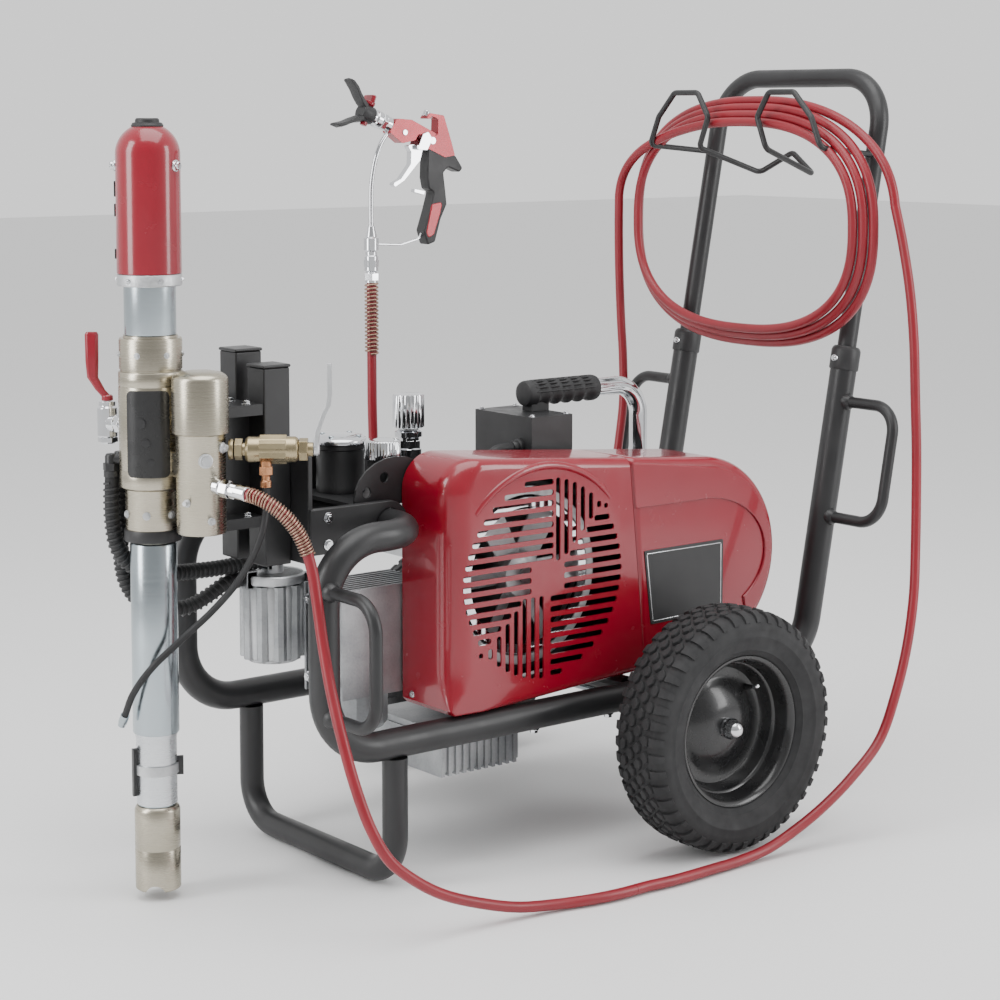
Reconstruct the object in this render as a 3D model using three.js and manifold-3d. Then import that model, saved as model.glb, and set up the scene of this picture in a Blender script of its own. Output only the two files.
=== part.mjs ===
// Airless paint sprayer on a two-wheeled cart, with a tilting direct-immersion pump, a belt-driven
// hydraulic power unit, a coiled paint hose on a rack and a spray gun. Millimetres, +Z up.
// X runs from the pump (front, -X) to the push handle (rear, +X). -Y is the belt guard's side.
// The origin is on the floor, under the middle of the machine.
import * as THREE from 'three';
import { mergeVertices } from 'three/addons/utils/BufferGeometryUtils.js';
import Module from 'manifold-3d';

const wasm = await Module();
wasm.setup();

// ---------------------------------------------------------------- driving dimensions
const gap = 0.3;                     // clearance between touching pieces
const runningGap = 0.5;              // clearance round a piece that turns or slides

const frameHalfWidth = 195;          // tube centre to the machine's middle plane
const mainTubeRadius = 22.2;
const standTubeRadius = 19;
const handleTubeRadius = 16;
const grabRodRadius = 9.5;
const railHeight = 220;              // centre of the lower rails
const pivotHeight = 528;             // centre of the upper front tube, the pump's tilt axis
const pivotX = -300;
const frameFrontX = -475;
const rearBendX = 489;
const standX = -352;
const frameBendRadius = 92;
const handleLean = 10.8 * Math.PI / 180;
const lowerHandleTopZ = 740;
const handleTopZ = 1195;
const handleTravel = 120;            // how far the upper handle slides down
const handleInsertion = 100;         // how deep the upper handle sits in the lower one
const grabReach = 106;               // grab rod's stand-off from the frame tube

const wheelRadius = 190;
const tyreWidth = 105;
const tyreMidY = 344.5;
const rimRadius = 118;
const axleX = 168;
const axleRadius = 7.5;

const guardFrontX = -259;
const guardNearY = -209;
const guardBackY = -87;
const guardBottomZ = 245;
const guardTopZ = 626;
const guardRearRadius = 162;
const guardFrontRadius = 55;
const guardWall = 3;
const guardSplitX = 88;
const grilleRadius = 150;
const slotPitch = 16.5;
const slotWidth = 8.5;

const drivenPulley = { x: -93, z: 434, radius: 138 };
const motorPulley = { x: 251, z: 425, radius: 46 };
const beltThickness = 8;
const shaftRadius = 12;
const motorRadius = 95;

const pumpX = -637;
const pumpHeadRadius = 46;
const pumpTopZ = 1129;
const filterRadius = 38;
const columnSize = 45;
const columnX = -463;
const columnTopZ = 772;
const yokeArmY = 106;
const yokeArmThickness = 12;

const hoseRadius = 8;
const hydraulicHoseRadius = 10;
const bleedHoseRadius = 5;
const coilX = 549.5;
const coilMidY = -5;
const gunX = -68;
const gunY = 260;
const swivelTopZ = 943;

// ---------------------------------------------------------------- materials
function paint(color, roughness = 0.4, metalness = 0) {
  return new THREE.MeshStandardMaterial({ color, roughness, metalness });
}

const blackPaint = () => paint(0x1d1d1f, 0.5, 0.2);
const redPaint = () => paint(0x9e1526, 0.25, 0.1);
const chrome = () => paint(0xdadcdf, 0.1, 1);
const nickel = () => paint(0xb9b4a5, 0.3, 1);
const steel = () => paint(0x9aa3a8, 0.3, 1);
const castGrey = () => paint(0x8b8d8f, 0.5, 0.7);
const brass = () => paint(0xa99b6f, 0.3, 1);
const rubber = () => paint(0x161617, 0.8, 0);
const plastic = () => paint(0x1a1a1b, 0.6, 0);
const redHose = () => paint(0x8f1424, 0.45, 0);

// ---------------------------------------------------------------- geometry helpers
const vec = (x, y, z) => new THREE.Vector3(x, y, z);

function toSolid(geometry) {
  const plain = geometry.clone();
  plain.deleteAttribute('normal');
  plain.deleteAttribute('uv');
  const merged = mergeVertices(plain, 1e-3);
  return new wasm.Manifold(new wasm.Mesh({
    numProp: 3,
    vertProperties: new Float32Array(merged.attributes.position.array),
    triVerts: new Uint32Array(merged.index.array),
  }));
}

function toGeometry(solid) {
  const mesh = solid.getMesh();
  const geometry = new THREE.BufferGeometry();
  geometry.setAttribute('position', new THREE.BufferAttribute(new Float32Array(mesh.vertProperties), 3));
  geometry.setIndex(new THREE.BufferAttribute(new Uint32Array(mesh.triVerts), 1));
  geometry.computeVertexNormals();
  return geometry;
}

function join(...geometries) {
  return toGeometry(geometries.map(toSolid).reduce((a, b) => a.add(b)));
}

function cut(geometry, ...tools) {
  return toGeometry(tools.map(toSolid).reduce((a, b) => a.subtract(b), toSolid(geometry)));
}

// A box from its lowest to its highest corner.
function block(x0, y0, z0, x1, y1, z1) {
  const geometry = new THREE.BoxGeometry(x1 - x0, y1 - y0, z1 - z0);
  return geometry.translate((x0 + x1) / 2, (y0 + y1) / 2, (z0 + z1) / 2);
}

// A rod between two points, of one radius or tapering to a second one.
function rod(from, to, radius, sides = 16, endRadius = radius) {
  const along = to.clone().sub(from);
  const geometry = new THREE.CylinderGeometry(endRadius, radius, along.length(), sides);
  geometry.translate(0, along.length() / 2, 0);
  geometry.applyQuaternion(new THREE.Quaternion().setFromUnitVectors(vec(0, 1, 0), along.normalize()));
  return geometry.translate(from.x, from.y, from.z);
}

// A turned solid round a vertical axis at (x, y). The profile is [radius, height] pairs, axis to axis.
function turned(profile, x, y, sides = 24) {
  const points = profile.map(([radius, height]) => new THREE.Vector2(radius, height));
  const geometry = new THREE.LatheGeometry(points, sides);
  geometry.rotateX(Math.PI / 2);
  return geometry.translate(x, y, 0);
}

// A turned solid round an axis along +Y through (x, z). The profile is [radius, y] pairs.
function turnedY(profile, x, z, sides = 24) {
  const points = profile.map(([radius, y]) => new THREE.Vector2(radius, y));
  return new THREE.LatheGeometry(points, sides).translate(x, 0, z);
}

// An outline in the XZ plane, thickened from y0 to y1.
function plateXZ(shape, y0, y1, curveSegments = 8) {
  const geometry = new THREE.ExtrudeGeometry(shape, { depth: y1 - y0, bevelEnabled: false, curveSegments });
  geometry.rotateX(Math.PI / 2);
  return geometry.translate(0, y1, 0);
}

function polygon(points) {
  return new THREE.Shape(points.map(([x, y]) => new THREE.Vector2(x, y)));
}

// A curve through fixed stations, so that a tube has rings only where its path bends.
class StationPath extends THREE.Curve {
  constructor(stations) {
    super();
    this.stations = stations;
  }

  getPoint(t) {
    const place = t * (this.stations.length - 1);
    const first = Math.min(Math.floor(place), this.stations.length - 2);
    return this.stations[first].clone().lerp(this.stations[first + 1], place - first);
  }

  getSpacedPoints() {
    return this.stations.map((station) => station.clone());
  }

  getTangentAt(u) {
    const last = this.stations.length - 1;
    const here = Math.round(u * last);
    const before = this.stations[Math.max(here - 1, 0)];
    const after = this.stations[Math.min(here + 1, last)];
    const at = this.stations[here];
    const back = here > 0 ? at.clone().sub(before).normalize() : vec(0, 0, 0);
    const ahead = here < last ? after.clone().sub(at).normalize() : vec(0, 0, 0);
    return back.add(ahead).normalize();
  }
}

function circleShape(radius, sides) {
  const points = [];
  for (let i = 0; i < sides; i += 1) {
    const angle = (i + 0.5) * 2 * Math.PI / sides;
    points.push([radius * Math.cos(angle), radius * Math.sin(angle)]);
  }
  return polygon(points);
}

function sweep(stations, radius, sides) {
  return new THREE.ExtrudeGeometry(circleShape(radius, sides), {
    steps: stations.length - 1,
    bevelEnabled: false,
    extrudePath: new StationPath(stations),
  });
}

// Corner points joined by straight lengths and round bends.
function bentStations(corners, bendRadius, stepsPerQuarter = 4) {
  const stations = [corners[0]];
  for (let i = 1; i < corners.length - 1; i += 1) {
    const incoming = corners[i].clone().sub(corners[i - 1]).normalize();
    const outgoing = corners[i + 1].clone().sub(corners[i]).normalize();
    const turn = incoming.angleTo(outgoing);
    const start = corners[i].clone().addScaledVector(incoming, -bendRadius * Math.tan(turn / 2));
    const side = outgoing.clone().addScaledVector(incoming, -Math.cos(turn)).normalize();
    const steps = Math.max(2, Math.round(turn / (Math.PI / 2) * stepsPerQuarter));
    for (let k = 0; k <= steps; k += 1) {
      const angle = turn * k / steps;
      stations.push(start.clone()
        .addScaledVector(incoming, bendRadius * Math.sin(angle))
        .addScaledVector(side, bendRadius * (1 - Math.cos(angle))));
    }
  }
  stations.push(corners[corners.length - 1]);
  return stations;
}

function bentTube(corners, tubeRadius, bendRadius, sides = 12) {
  return sweep(bentStations(corners, bendRadius), tubeRadius, sides);
}

// A cord's tube along a smooth curve through hand-chosen points.
function cordTube(points, radius, spacing = 2.6, sides = 8) {
  const curve = new THREE.CatmullRomCurve3(points.map(([x, y, z]) => vec(x, y, z)), false, 'centripetal');
  const steps = Math.round(curve.getLength() / (2 * radius * spacing));
  const stations = curve.getSpacedPoints(steps);
  const [first, second] = points;
  const [beforeLast, last] = points.slice(-2);
  const squareEnd = 0.3;
  stations.splice(1, 0, vec(...first).lerp(vec(...second), squareEnd));
  stations.splice(-1, 0, vec(...last).lerp(vec(...beforeLast), squareEnd));
  return sweep(stations, radius, sides);
}

const sprayer = new THREE.Group();

function add(name, geometry, material) {
  const mesh = new THREE.Mesh(geometry, material);
  mesh.name = name;
  sprayer.add(mesh);
  return mesh;
}

// Both sides of the machine: near is the belt guard's side.
const sides = [{ label: 'near', sign: -1 }, { label: 'far', sign: 1 }];

// ---------------------------------------------------------------- cart frame
// The lower handle tubes and the upper handle share one leaning line.
function handleLineX(z) {
  return rearBendX + (z - railHeight) * Math.tan(handleLean);
}

function sideFrame(sign) {
  const y = sign * frameHalfWidth;
  const tube = bentTube([
    vec(handleLineX(lowerHandleTopZ), y, lowerHandleTopZ),
    vec(rearBendX, y, railHeight),
    vec(frameFrontX, y, railHeight),
    vec(frameFrontX, y, pivotHeight),
    vec(pivotX - 80, y, pivotHeight),
  ], mainTubeRadius, frameBendRadius, 14);
  const boreBottomZ = lowerHandleTopZ - handleInsertion - handleTravel - 10;
  const bore = rod(
    vec(handleLineX(boreBottomZ), y, boreBottomZ),
    vec(handleLineX(lowerHandleTopZ + 20), y, lowerHandleTopZ + 20),
    handleTubeRadius + 1.2, 14,
  );
  return cut(tube, bore);
}

function frontStand() {
  const flatRadius = standTubeRadius * Math.cos(Math.PI / 12);
  const top = railHeight - mainTubeRadius - gap;
  return bentTube([
    vec(standX, -frameHalfWidth, top),
    vec(standX, -frameHalfWidth, flatRadius),
    vec(standX, frameHalfWidth, flatRadius),
    vec(standX, frameHalfWidth, top),
  ], standTubeRadius, 62, 12);
}

function pivotTube() {
  const startX = pivotX - 80 + gap;
  return bentTube([
    vec(startX, -frameHalfWidth, pivotHeight),
    vec(pivotX, -frameHalfWidth, pivotHeight),
    vec(pivotX, frameHalfWidth, pivotHeight),
    vec(startX, frameHalfWidth, pivotHeight),
  ], mainTubeRadius, 70, 14);
}

function grabHandle(sign, top, bottom) {
  const innerY = sign * (frameHalfWidth + mainTubeRadius + gap);
  const outerY = sign * (frameHalfWidth + mainTubeRadius + grabReach);
  return bentTube([
    vec(top.x, innerY, top.z),
    vec(top.x, outerY, top.z),
    vec(bottom.x, outerY, bottom.z),
    vec(bottom.x, innerY, bottom.z),
  ], grabRodRadius, 44, 10);
}

for (const { label, sign } of sides) {
  add(`side_frame_${label}`, sideFrame(sign), blackPaint());
  add(`grab_handle_front_${label}`,
    grabHandle(sign, { x: frameFrontX, z: 462 }, { x: frameFrontX, z: 280 }), blackPaint());
  add(`grab_handle_rear_${label}`,
    grabHandle(sign, { x: handleLineX(653), z: 653 }, { x: handleLineX(462), z: 462 }), blackPaint());
}
add('front_stand', frontStand(), blackPaint());
add('pivot_tube', pivotTube(), blackPaint());

// ---------------------------------------------------------------- upper handle and hose rack
function upperHandle() {
  const footZ = lowerHandleTopZ - handleInsertion;
  const corner = (sign) => vec(handleLineX(handleTopZ), sign * frameHalfWidth, handleTopZ);
  const foot = (sign) => vec(handleLineX(footZ), sign * frameHalfWidth, footZ);
  return bentTube([foot(-1), corner(-1), corner(1), foot(1)], handleTubeRadius, 88, 14);
}

const rackX = 505;
const rackRodRadius = 5;
function hoseRack() {
  const legFrontX = handleLineX(1066) - handleTubeRadius / Math.cos(handleLean) - gap;
  const half = [
    [legFrontX, 200, 1066], [rackX, 209, 1078], [rackX, 187, 1128], [rackX, 146, 1170],
    [rackX, 87, 1170], [rackX, 60, 1128], [rackX, 82, 1075], [rackX + 131, 65, 1030],
  ];
  const near = half.map(([x, y, z]) => vec(x, -y, z));
  const far = half.map(([x, y, z]) => vec(x, y, z)).reverse();
  const stations = bentStations([...near, vec(rackX + 147, 0, 1066), ...far], 12, 3);
  return sweep(stations, rackRodRadius, 8);
}
add('upper_handle', upperHandle(), blackPaint());
add('hose_rack', hoseRack(), blackPaint());

// ---------------------------------------------------------------- axle and wheels
const axleHalf = tyreMidY + tyreWidth / 2 - 30;
add('axle', rod(vec(axleX, -axleHalf, wheelRadius), vec(axleX, axleHalf, wheelRadius), axleRadius, 12), steel());

const wheelSides = 36;
function tyre(mid) {
  const half = tyreWidth / 2;
  return turnedY([
    [rimRadius + gap, mid - half + 16], [wheelRadius - 30, mid - half], [wheelRadius - 9, mid - half + 9],
    [wheelRadius, mid - half + 22], [wheelRadius, mid + half - 22], [wheelRadius - 9, mid + half - 9],
    [wheelRadius - 30, mid + half], [rimRadius + gap, mid + half - 16], [rimRadius + gap, mid - half + 16],
  ], axleX, wheelRadius, wheelSides);
}

function rim(mid, sign) {
  const half = tyreWidth / 2 - 15;
  const bore = axleRadius + runningGap;
  const discIn = mid - sign * 8;
  const discOut = mid - sign * 2;
  const section = [
    [bore, mid - sign * 20], [30, mid - sign * 20], [30, discIn], [rimRadius - 22, discIn],
    [rimRadius - 12, mid - sign * half], [rimRadius, mid - sign * half],
    [rimRadius, mid + sign * half], [rimRadius - 8, mid + sign * half],
    [rimRadius - 30, discOut + sign * 12], [70, discOut], [40, discOut + sign * 8],
    [bore, discOut + sign * 10], [bore, mid - sign * 20],
  ];
  return turnedY(sign > 0 ? section : section.slice().reverse(), axleX, wheelRadius, wheelSides);
}

function hubCap(sign) {
  const base = tyreMidY + 8 + gap + 0.5;
  const reach = axleHalf + gap - base;
  const cup = [
    [0, reach], [axleRadius + runningGap, reach], [axleRadius + runningGap, 0], [16, 0], [16, reach],
    [12.5, reach + 8], [7, reach + 12.5], [0, reach + 14],
  ].map(([radius, along]) => [radius, sign * (base + along)]);
  return turnedY(sign > 0 ? cup : cup.slice().reverse(), axleX, wheelRadius, 20);
}

for (const { label, sign } of sides) {
  add(`tyre_${label}`, tyre(sign * tyreMidY), rubber());
  add(`rim_${label}`, rim(sign * tyreMidY, sign), blackPaint());
  add(`hub_cap_${label}`, hubCap(sign), chrome());
}

// ---------------------------------------------------------------- belt guard and drive
// The guard's side outline: a square foot, a round front shoulder and a round rear end.
function guardOutline(inset) {
  const rearX = motorPulley.x;
  const rearZ = motorPulley.z;
  const radius = guardRearRadius - inset;
  const front = guardFrontX + inset;
  const shoulder = guardFrontRadius - inset;
  const slope = Math.atan2(guardTopZ - rearZ - guardRearRadius, rearX - guardFrontX - guardFrontRadius);
  const shape = new THREE.Shape();
  shape.moveTo(front, guardBottomZ + inset);
  shape.lineTo(rearX, rearZ - radius);
  shape.absarc(rearX, rearZ, radius, -Math.PI / 2, Math.PI / 2 - slope, false);
  shape.absarc(guardFrontX + guardFrontRadius, guardTopZ - guardFrontRadius, shoulder,
    Math.PI / 2 - slope, Math.PI, false);
  shape.closePath();
  return shape;
}

// The grille's slots turn like a pinwheel: rows on the left and right, uprights above and below.
function grilleSlots() {
  const slots = [];
  const reach = (offset) => Math.sqrt(Math.max(0, grilleRadius ** 2 - offset ** 2));
  const rows = Math.floor(grilleRadius / slotPitch);
  for (let k = -rows + 1; k < rows; k += 1) {
    const offset = k * slotPitch;
    const edge = reach(offset) - 6;
    const innerLeft = offset > -20 ? 12 - (offset < 30 ? 45 : 0) : 10 - Math.min(edge, -offset) - 20;
    const innerRight = offset < 20 ? 12 + (offset > -30 ? 25 : 0) : 10 + Math.min(edge, offset) + 20;
    if (edge > 20 && innerLeft > -edge + 12) slots.push([-edge, offset, innerLeft, offset + slotWidth]);
    if (edge > 20 && innerRight < edge - 12) slots.push([innerRight, offset, edge, offset + slotWidth]);
  }
  for (let k = 1; k < rows - 1; k += 1) {
    const offset = k * slotPitch;
    const edge = reach(offset + slotWidth) - 6;
    if (edge > offset + 40) {
      slots.push([offset + 6, offset + 36, offset + 6 + slotWidth, edge]);
      slots.push([-offset - 6 - slotWidth, -edge, -offset - 6, -offset - 36]);
    }
  }
  return slots;
}

function guardHalf(isFront) {
  const outer = plateXZ(guardOutline(0), guardNearY, guardBackY, 10);
  const hollow = plateXZ(guardOutline(guardWall), guardNearY + guardWall, guardBackY + 1, 10);
  const far = 600;
  const away = isFront
    ? block(guardSplitX, guardNearY - 9, 0, far, guardBackY + 9, 900)
    : block(-far, guardNearY - 9, 0, guardSplitX + gap, guardBackY + 9, 900);
  const tools = [hollow, away];
  if (isFront) {
    for (const [x0, z0, x1, z1] of grilleSlots()) {
      tools.push(block(drivenPulley.x + x0, guardNearY - 1, drivenPulley.z + z0,
        drivenPulley.x + x1, guardNearY + guardWall + 1, drivenPulley.z + z1));
    }
  }
  return cut(outer, ...tools);
}
add('guard_front', guardHalf(true), redPaint());
add('guard_rear', guardHalf(false), redPaint());

const beltNearY = -168;
const beltFarY = -146;
function drivenPulleySolid() {
  const { x, z, radius } = drivenPulley;
  const bore = shaftRadius + runningGap;
  const rimRing = turnedY([
    [radius - 16, beltNearY - 6], [radius, beltNearY - 6], [radius, beltFarY + 6],
    [radius - 16, beltFarY + 6], [radius - 16, beltNearY - 6],
  ], x, z, 32);
  const hub = turnedY([
    [bore, beltNearY - 8], [34, beltNearY - 8], [34, beltFarY + 8], [bore, beltFarY + 8], [bore, beltNearY - 8],
  ], x, z, 20);
  const spokes = [];
  const spokeCount = 6;
  for (let i = 0; i < spokeCount; i += 1) {
    const spoke = new THREE.BoxGeometry(radius - 38, 8, 26);
    spoke.rotateX(0.5);
    spoke.translate((radius + 18) / 2, (beltNearY + beltFarY) / 2, 0);
    spoke.rotateY(i * 2 * Math.PI / spokeCount);
    spokes.push(spoke.translate(x, 0, z));
  }
  return join(rimRing, hub, ...spokes);
}

function motorPulleySolid() {
  const bore = shaftRadius + runningGap;
  return turnedY([
    [bore, beltNearY - 4], [motorPulley.radius, beltNearY - 4], [motorPulley.radius, beltFarY + 4],
    [bore, beltFarY + 4], [bore, beltNearY - 4],
  ], motorPulley.x, motorPulley.z, 24);
}

// The belt's loop: an arc round each pulley, and the two straight runs between them.
function beltOutline(extra) {
  const dx = motorPulley.x - drivenPulley.x;
  const dz = motorPulley.z - drivenPulley.z;
  const base = Math.atan2(dz, dx);
  const spread = Math.acos((drivenPulley.radius - motorPulley.radius) / Math.hypot(dx, dz));
  const shape = new THREE.Shape();
  shape.absarc(drivenPulley.x, drivenPulley.z, drivenPulley.radius + extra, base + spread,
    base - spread + 2 * Math.PI, false);
  shape.absarc(motorPulley.x, motorPulley.z, motorPulley.radius + extra, base - spread, base + spread, false);
  shape.closePath();
  return shape;
}

function driveBelt() {
  const clearance = 0.6;
  const outer = plateXZ(beltOutline(clearance + beltThickness), beltNearY, beltFarY, 28);
  const inner = plateXZ(beltOutline(clearance), beltNearY - 1, beltFarY + 1, 28);
  return cut(outer, inner);
}
add('driven_pulley', drivenPulleySolid(), castGrey());
add('motor_pulley', motorPulleySolid(), castGrey());
add('drive_belt', driveBelt(), rubber());

// ---------------------------------------------------------------- power unit
const baseTopZ = 249;
const baseBottomZ = railHeight + mainTubeRadius + gap;
const tie = { x: 120, z: 228, radius: 16 };
const railInnerY = frameHalfWidth - mainTubeRadius - gap;
add('base_plate', join(
  block(-60, -84, baseBottomZ, 400, 190, baseTopZ),
  rod(vec(tie.x, -railInnerY, tie.z), vec(tie.x, railInnerY, tie.z), tie.radius, 12),
), blackPaint());

function motor() {
  const nearY = -80;
  const farY = 165;
  const body = turnedY([
    [0, beltNearY - 8], [shaftRadius, beltNearY - 8], [shaftRadius, nearY], [40, nearY],
    [motorRadius, nearY + 14], [motorRadius, farY - 14], [60, farY], [0, farY],
  ], motorPulley.x, motorPulley.z, 28);
  const feetTop = motorPulley.z - motorRadius + 20;
  const foot = block(motorPulley.x - 70, nearY + 20, baseTopZ + gap, motorPulley.x + 70, farY - 20, feetTop);
  return join(body, foot);
}
add('motor', motor(), castGrey());

const knob = { x: -128, y: 75, radius: 26, bottom: 637, top: 692 };
function hydraulicPump() {
  const { x, z } = drivenPulley;
  const neck = turned([
    [0, 540], [26, 540], [26, 560], [20, 590], [16, 600], [16, knob.bottom - gap], [0, knob.bottom - gap],
  ], knob.x, knob.y, 18);
  const body = turnedY([
    [0, beltNearY - 12], [shaftRadius, beltNearY - 12], [shaftRadius, -80], [48, -80],
    [58, -66], [58, 60], [46, 70], [0, 70],
  ], x, z, 24);
  const manifold = block(x - 60, -46, z, x + 40, 112, 556);
  const foot = block(x - 40, -60, baseTopZ + gap, x + 60, 60, z);
  const overhang = block(x - 70, -90, 0, x + 33 - gap, 90, baseTopZ + gap);
  return cut(join(body, manifold, foot, neck), overhang);
}
add('hydraulic_pump', hydraulicPump(), castGrey());

const box = { x0: 15, x1: 99, y0: -60, y1: 86, z0: 556 + gap, z1: 655 };
function controlBox() {
  const bracket = block(box.x0, 60, 480, box.x0 + 40, 80, box.z0 + 1);
  return join(block(box.x0, box.y0, box.z0, box.x1, box.y1, box.z1), bracket);
}
add('control_box', controlBox(), plastic());

const liftY = 10;
const liftBarZ = 684;
const liftPostX = 302;
function liftBar() {
  const postFoot = motorPulley.z + motorRadius + 1;
  return bentTube([
    vec(liftPostX, liftY, postFoot), vec(liftPostX, liftY, liftBarZ), vec(205, liftY, liftBarZ),
  ], 15, 52, 14);
}
add('lift_bar', liftBar(), chrome());
add('lift_grip', join(
  rod(vec(52, liftY, liftBarZ), vec(205 - gap, liftY, liftBarZ), 21, 16),
  block(60, liftY - 12, box.z1 + gap, 100, liftY + 12, liftBarZ),
), rubber());

const engine = { x0: -368, x1: -208, y0: -84, y1: 20, z0: 262, z1: 428 };
function engineBlock() {
  const fins = [];
  const finPitch = 12;
  for (let y = engine.y0; y + 5 <= engine.y1; y += finPitch) {
    fins.push(block(engine.x0, y, engine.z0, engine.x1, y + 5, engine.z1));
  }
  const core = block(engine.x0 + 10, engine.y0 + 2, engine.z0 + 8, engine.x1, engine.y1 - 4, engine.z1 - 8);
  const link = block(engine.x1 - 2, -50, 300, drivenPulley.x - 58 - gap, 10, 400);
  const sump = turned([[0, 205], [36, 205], [44, 214], [44, 270], [0, 270]], -300, -30, 18);
  return join(core, ...fins, link, sump);
}
add('engine_block', engineBlock(), castGrey());

function oilFilter() {
  const flutes = [];
  const fluteCount = 10;
  for (let i = 0; i < fluteCount; i += 1) {
    const angle = i * 2 * Math.PI / fluteCount;
    flutes.push(rod(vec(-385 + 40 * Math.cos(angle), 78 + 40 * Math.sin(angle), 306),
      vec(-385 + 40 * Math.cos(angle), 78 + 40 * Math.sin(angle), 420), 11, 8));
  }
  const body = turned([[0, 300], [38, 300], [44, 306], [44, 420], [47, 422], [47, 436], [0, 436]], -385, 78, 20);
  const elbow = join(
    rod(vec(-385, 78, 430), vec(-385, 78, 470), 17, 10),
    block(-345, 20, 412, engine.x0 + 30, 96, 434),
    block(-440, 64, 416, -420, 92, 444),
    block(-402, 64, 441, -380, 92, 469),
  );
  return join(body, ...flutes, elbow);
}
add('oil_filter', oilFilter(), castGrey());

function coolerBox() {
  const fins = [];
  for (let x = -218; x <= -70; x += 14) {
    fins.push(block(x, -130, 129, x + 6, 60, 190));
  }
  return join(block(-216, -126, 134, -66, 56, 200), ...fins);
}
add('cooler', coolerBox(), castGrey());

// Cradle on the pivot tube: a tray between two plates with holes for the tilt lock's pin.
const cradle = { y: 85, z: pivotHeight + mainTubeRadius + gap, midX: -268, halfLength: 76, height: 60, plate: 4 };
function tiltCradle() {
  const left = cradle.midX - cradle.halfLength;
  const right = cradle.midX + cradle.halfLength;
  const outline = [[left, cradle.z], [right, cradle.z]];
  const steps = 12;
  for (let i = 0; i <= steps; i += 1) {
    const angle = Math.PI * i / steps;
    outline.push([cradle.midX + cradle.halfLength * Math.cos(angle), cradle.z + 12 + cradle.height * Math.sin(angle)]);
  }
  const side = polygon(outline);
  for (const [x, z] of [[-322, cradle.z + 22], [-290, cradle.z + 42]]) {
    const hole = new THREE.Path();
    hole.absarc(x, z, 8, 0, 2 * Math.PI, true);
    side.holes.push(hole);
  }
  const tray = block(left, -cradle.y + 1, cradle.z, right - 20, cradle.y - 1, cradle.z + 6);
  const plates = [-1, 1].map((sign) => {
    const inner = sign * (cradle.y - cradle.plate);
    const outer = sign * cradle.y;
    return plateXZ(side, Math.min(inner, outer), Math.max(inner, outer), 10);
  });
  return join(tray, ...plates);
}
add('tilt_cradle', tiltCradle(), blackPaint());

const trayTopZ = cradle.z + 6 + gap;
const tank = { x: -285, y: 38, radius: 38, top: 631 };
const cap = { x: -262, y: -42, radius: 28 };
add('oil_tank', join(
  turned([
    [0, trayTopZ], [tank.radius, trayTopZ], [tank.radius, tank.top], [0, tank.top],
  ], tank.x, tank.y, 24),
  turned([
    [0, trayTopZ], [cap.radius - 8, trayTopZ], [cap.radius - 8, 612], [0, 612],
  ], cap.x, cap.y, 18),
  block(tank.x - 10, cap.y, trayTopZ, cap.x + 10, tank.y, trayTopZ + 14),
), plastic());
add('tank_lid', turned([
  [0, tank.top + gap], [tank.radius + 3, tank.top + gap], [tank.radius + 3, 638], [tank.radius - 4, 643], [0, 645],
], tank.x, tank.y, 28), chrome());
add('filler_cap', turned([
  [0, 612 + gap], [cap.radius - 4, 612 + gap], [cap.radius, 616], [cap.radius, 638], [cap.radius - 5, 643], [0, 643],
], cap.x, cap.y, 20), chrome());

add('pressure_knob', turned([
  [0, knob.bottom], [knob.radius, knob.bottom], [knob.radius, 660], [knob.radius - 3, 662],
  [knob.radius - 3, 688], [knob.radius - 7, knob.top], [0, knob.top],
], knob.x, knob.y, 20), chrome());

// ---------------------------------------------------------------- tilting pump
const columnMidY = 38;
function tiltYoke() {
  const armFront = columnX + columnSize / 2;
  const eye = 34;
  const parts = [];
  for (const sign of [-1, 1]) {
    const shape = new THREE.Shape();
    shape.moveTo(armFront, pivotHeight - eye);
    shape.lineTo(pivotX, pivotHeight - eye);
    shape.absarc(pivotX, pivotHeight, eye, -Math.PI / 2, Math.PI / 2, false);
    shape.lineTo(armFront, pivotHeight + eye);
    shape.closePath();
    const y = sign * yokeArmY;
    parts.push(plateXZ(shape, y - yokeArmThickness / 2, y + yokeArmThickness / 2, 8));
  }
  parts.push(block(armFront - 1, -yokeArmY, 480, armFront + 8, yokeArmY, 640));
  for (const sign of [-1, 1]) {
    const y = sign * columnMidY;
    const top = sign < 0 ? columnTopZ : columnTopZ + 18;
    parts.push(block(columnX - columnSize / 2, y - columnSize / 2, 476,
      columnX + columnSize / 2, y + columnSize / 2, top));
  }
  const bore = rod(vec(pivotX, -200, pivotHeight), vec(pivotX, 200, pivotHeight), mainTubeRadius + runningGap, 20);
  return cut(join(...parts), bore);
}
add('tilt_yoke', tiltYoke(), blackPaint());

const nickelBodyRadius = 46.5;
function pumpBracket() {
  const plates = [[536, 552], [700, 716]].map(([z0, z1]) => block(pumpX + 20, -58, z0,
    columnX - columnSize / 2 - gap, 62, z1));
  const web = block(pumpX + 62, -20, 540, columnX - columnSize / 2 - gap, 20, 710);
  const seat = rod(vec(pumpX, 0, 500), vec(pumpX, 0, 800), nickelBodyRadius + gap, 24);
  const filterRoom = rod(vec(pumpX + 28, -87.5, 500), vec(pumpX + 28, -87.5, 800), filterRadius + 2, 20);
  return cut(join(...plates, web), seat, filterRoom);
}
add('pump_bracket', pumpBracket(), blackPaint());

const headBottomZ = 909;
add('pump_head', turned([
  [0, headBottomZ], [pumpHeadRadius, headBottomZ], [pumpHeadRadius, 1078], [43, 1095], [34, 1109],
  [22, 1117], [18, pumpTopZ - 6], [15, pumpTopZ], [0, pumpTopZ],
], pumpX, 0, 24), redPaint());

const tubeTopZ = headBottomZ - gap;
add('drive_cylinder', turned([
  [0, 822 + gap], [37, 822 + gap], [37, 895], [46, 895], [46, tubeTopZ], [0, tubeTopZ],
], pumpX, 0, 24), steel());

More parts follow.
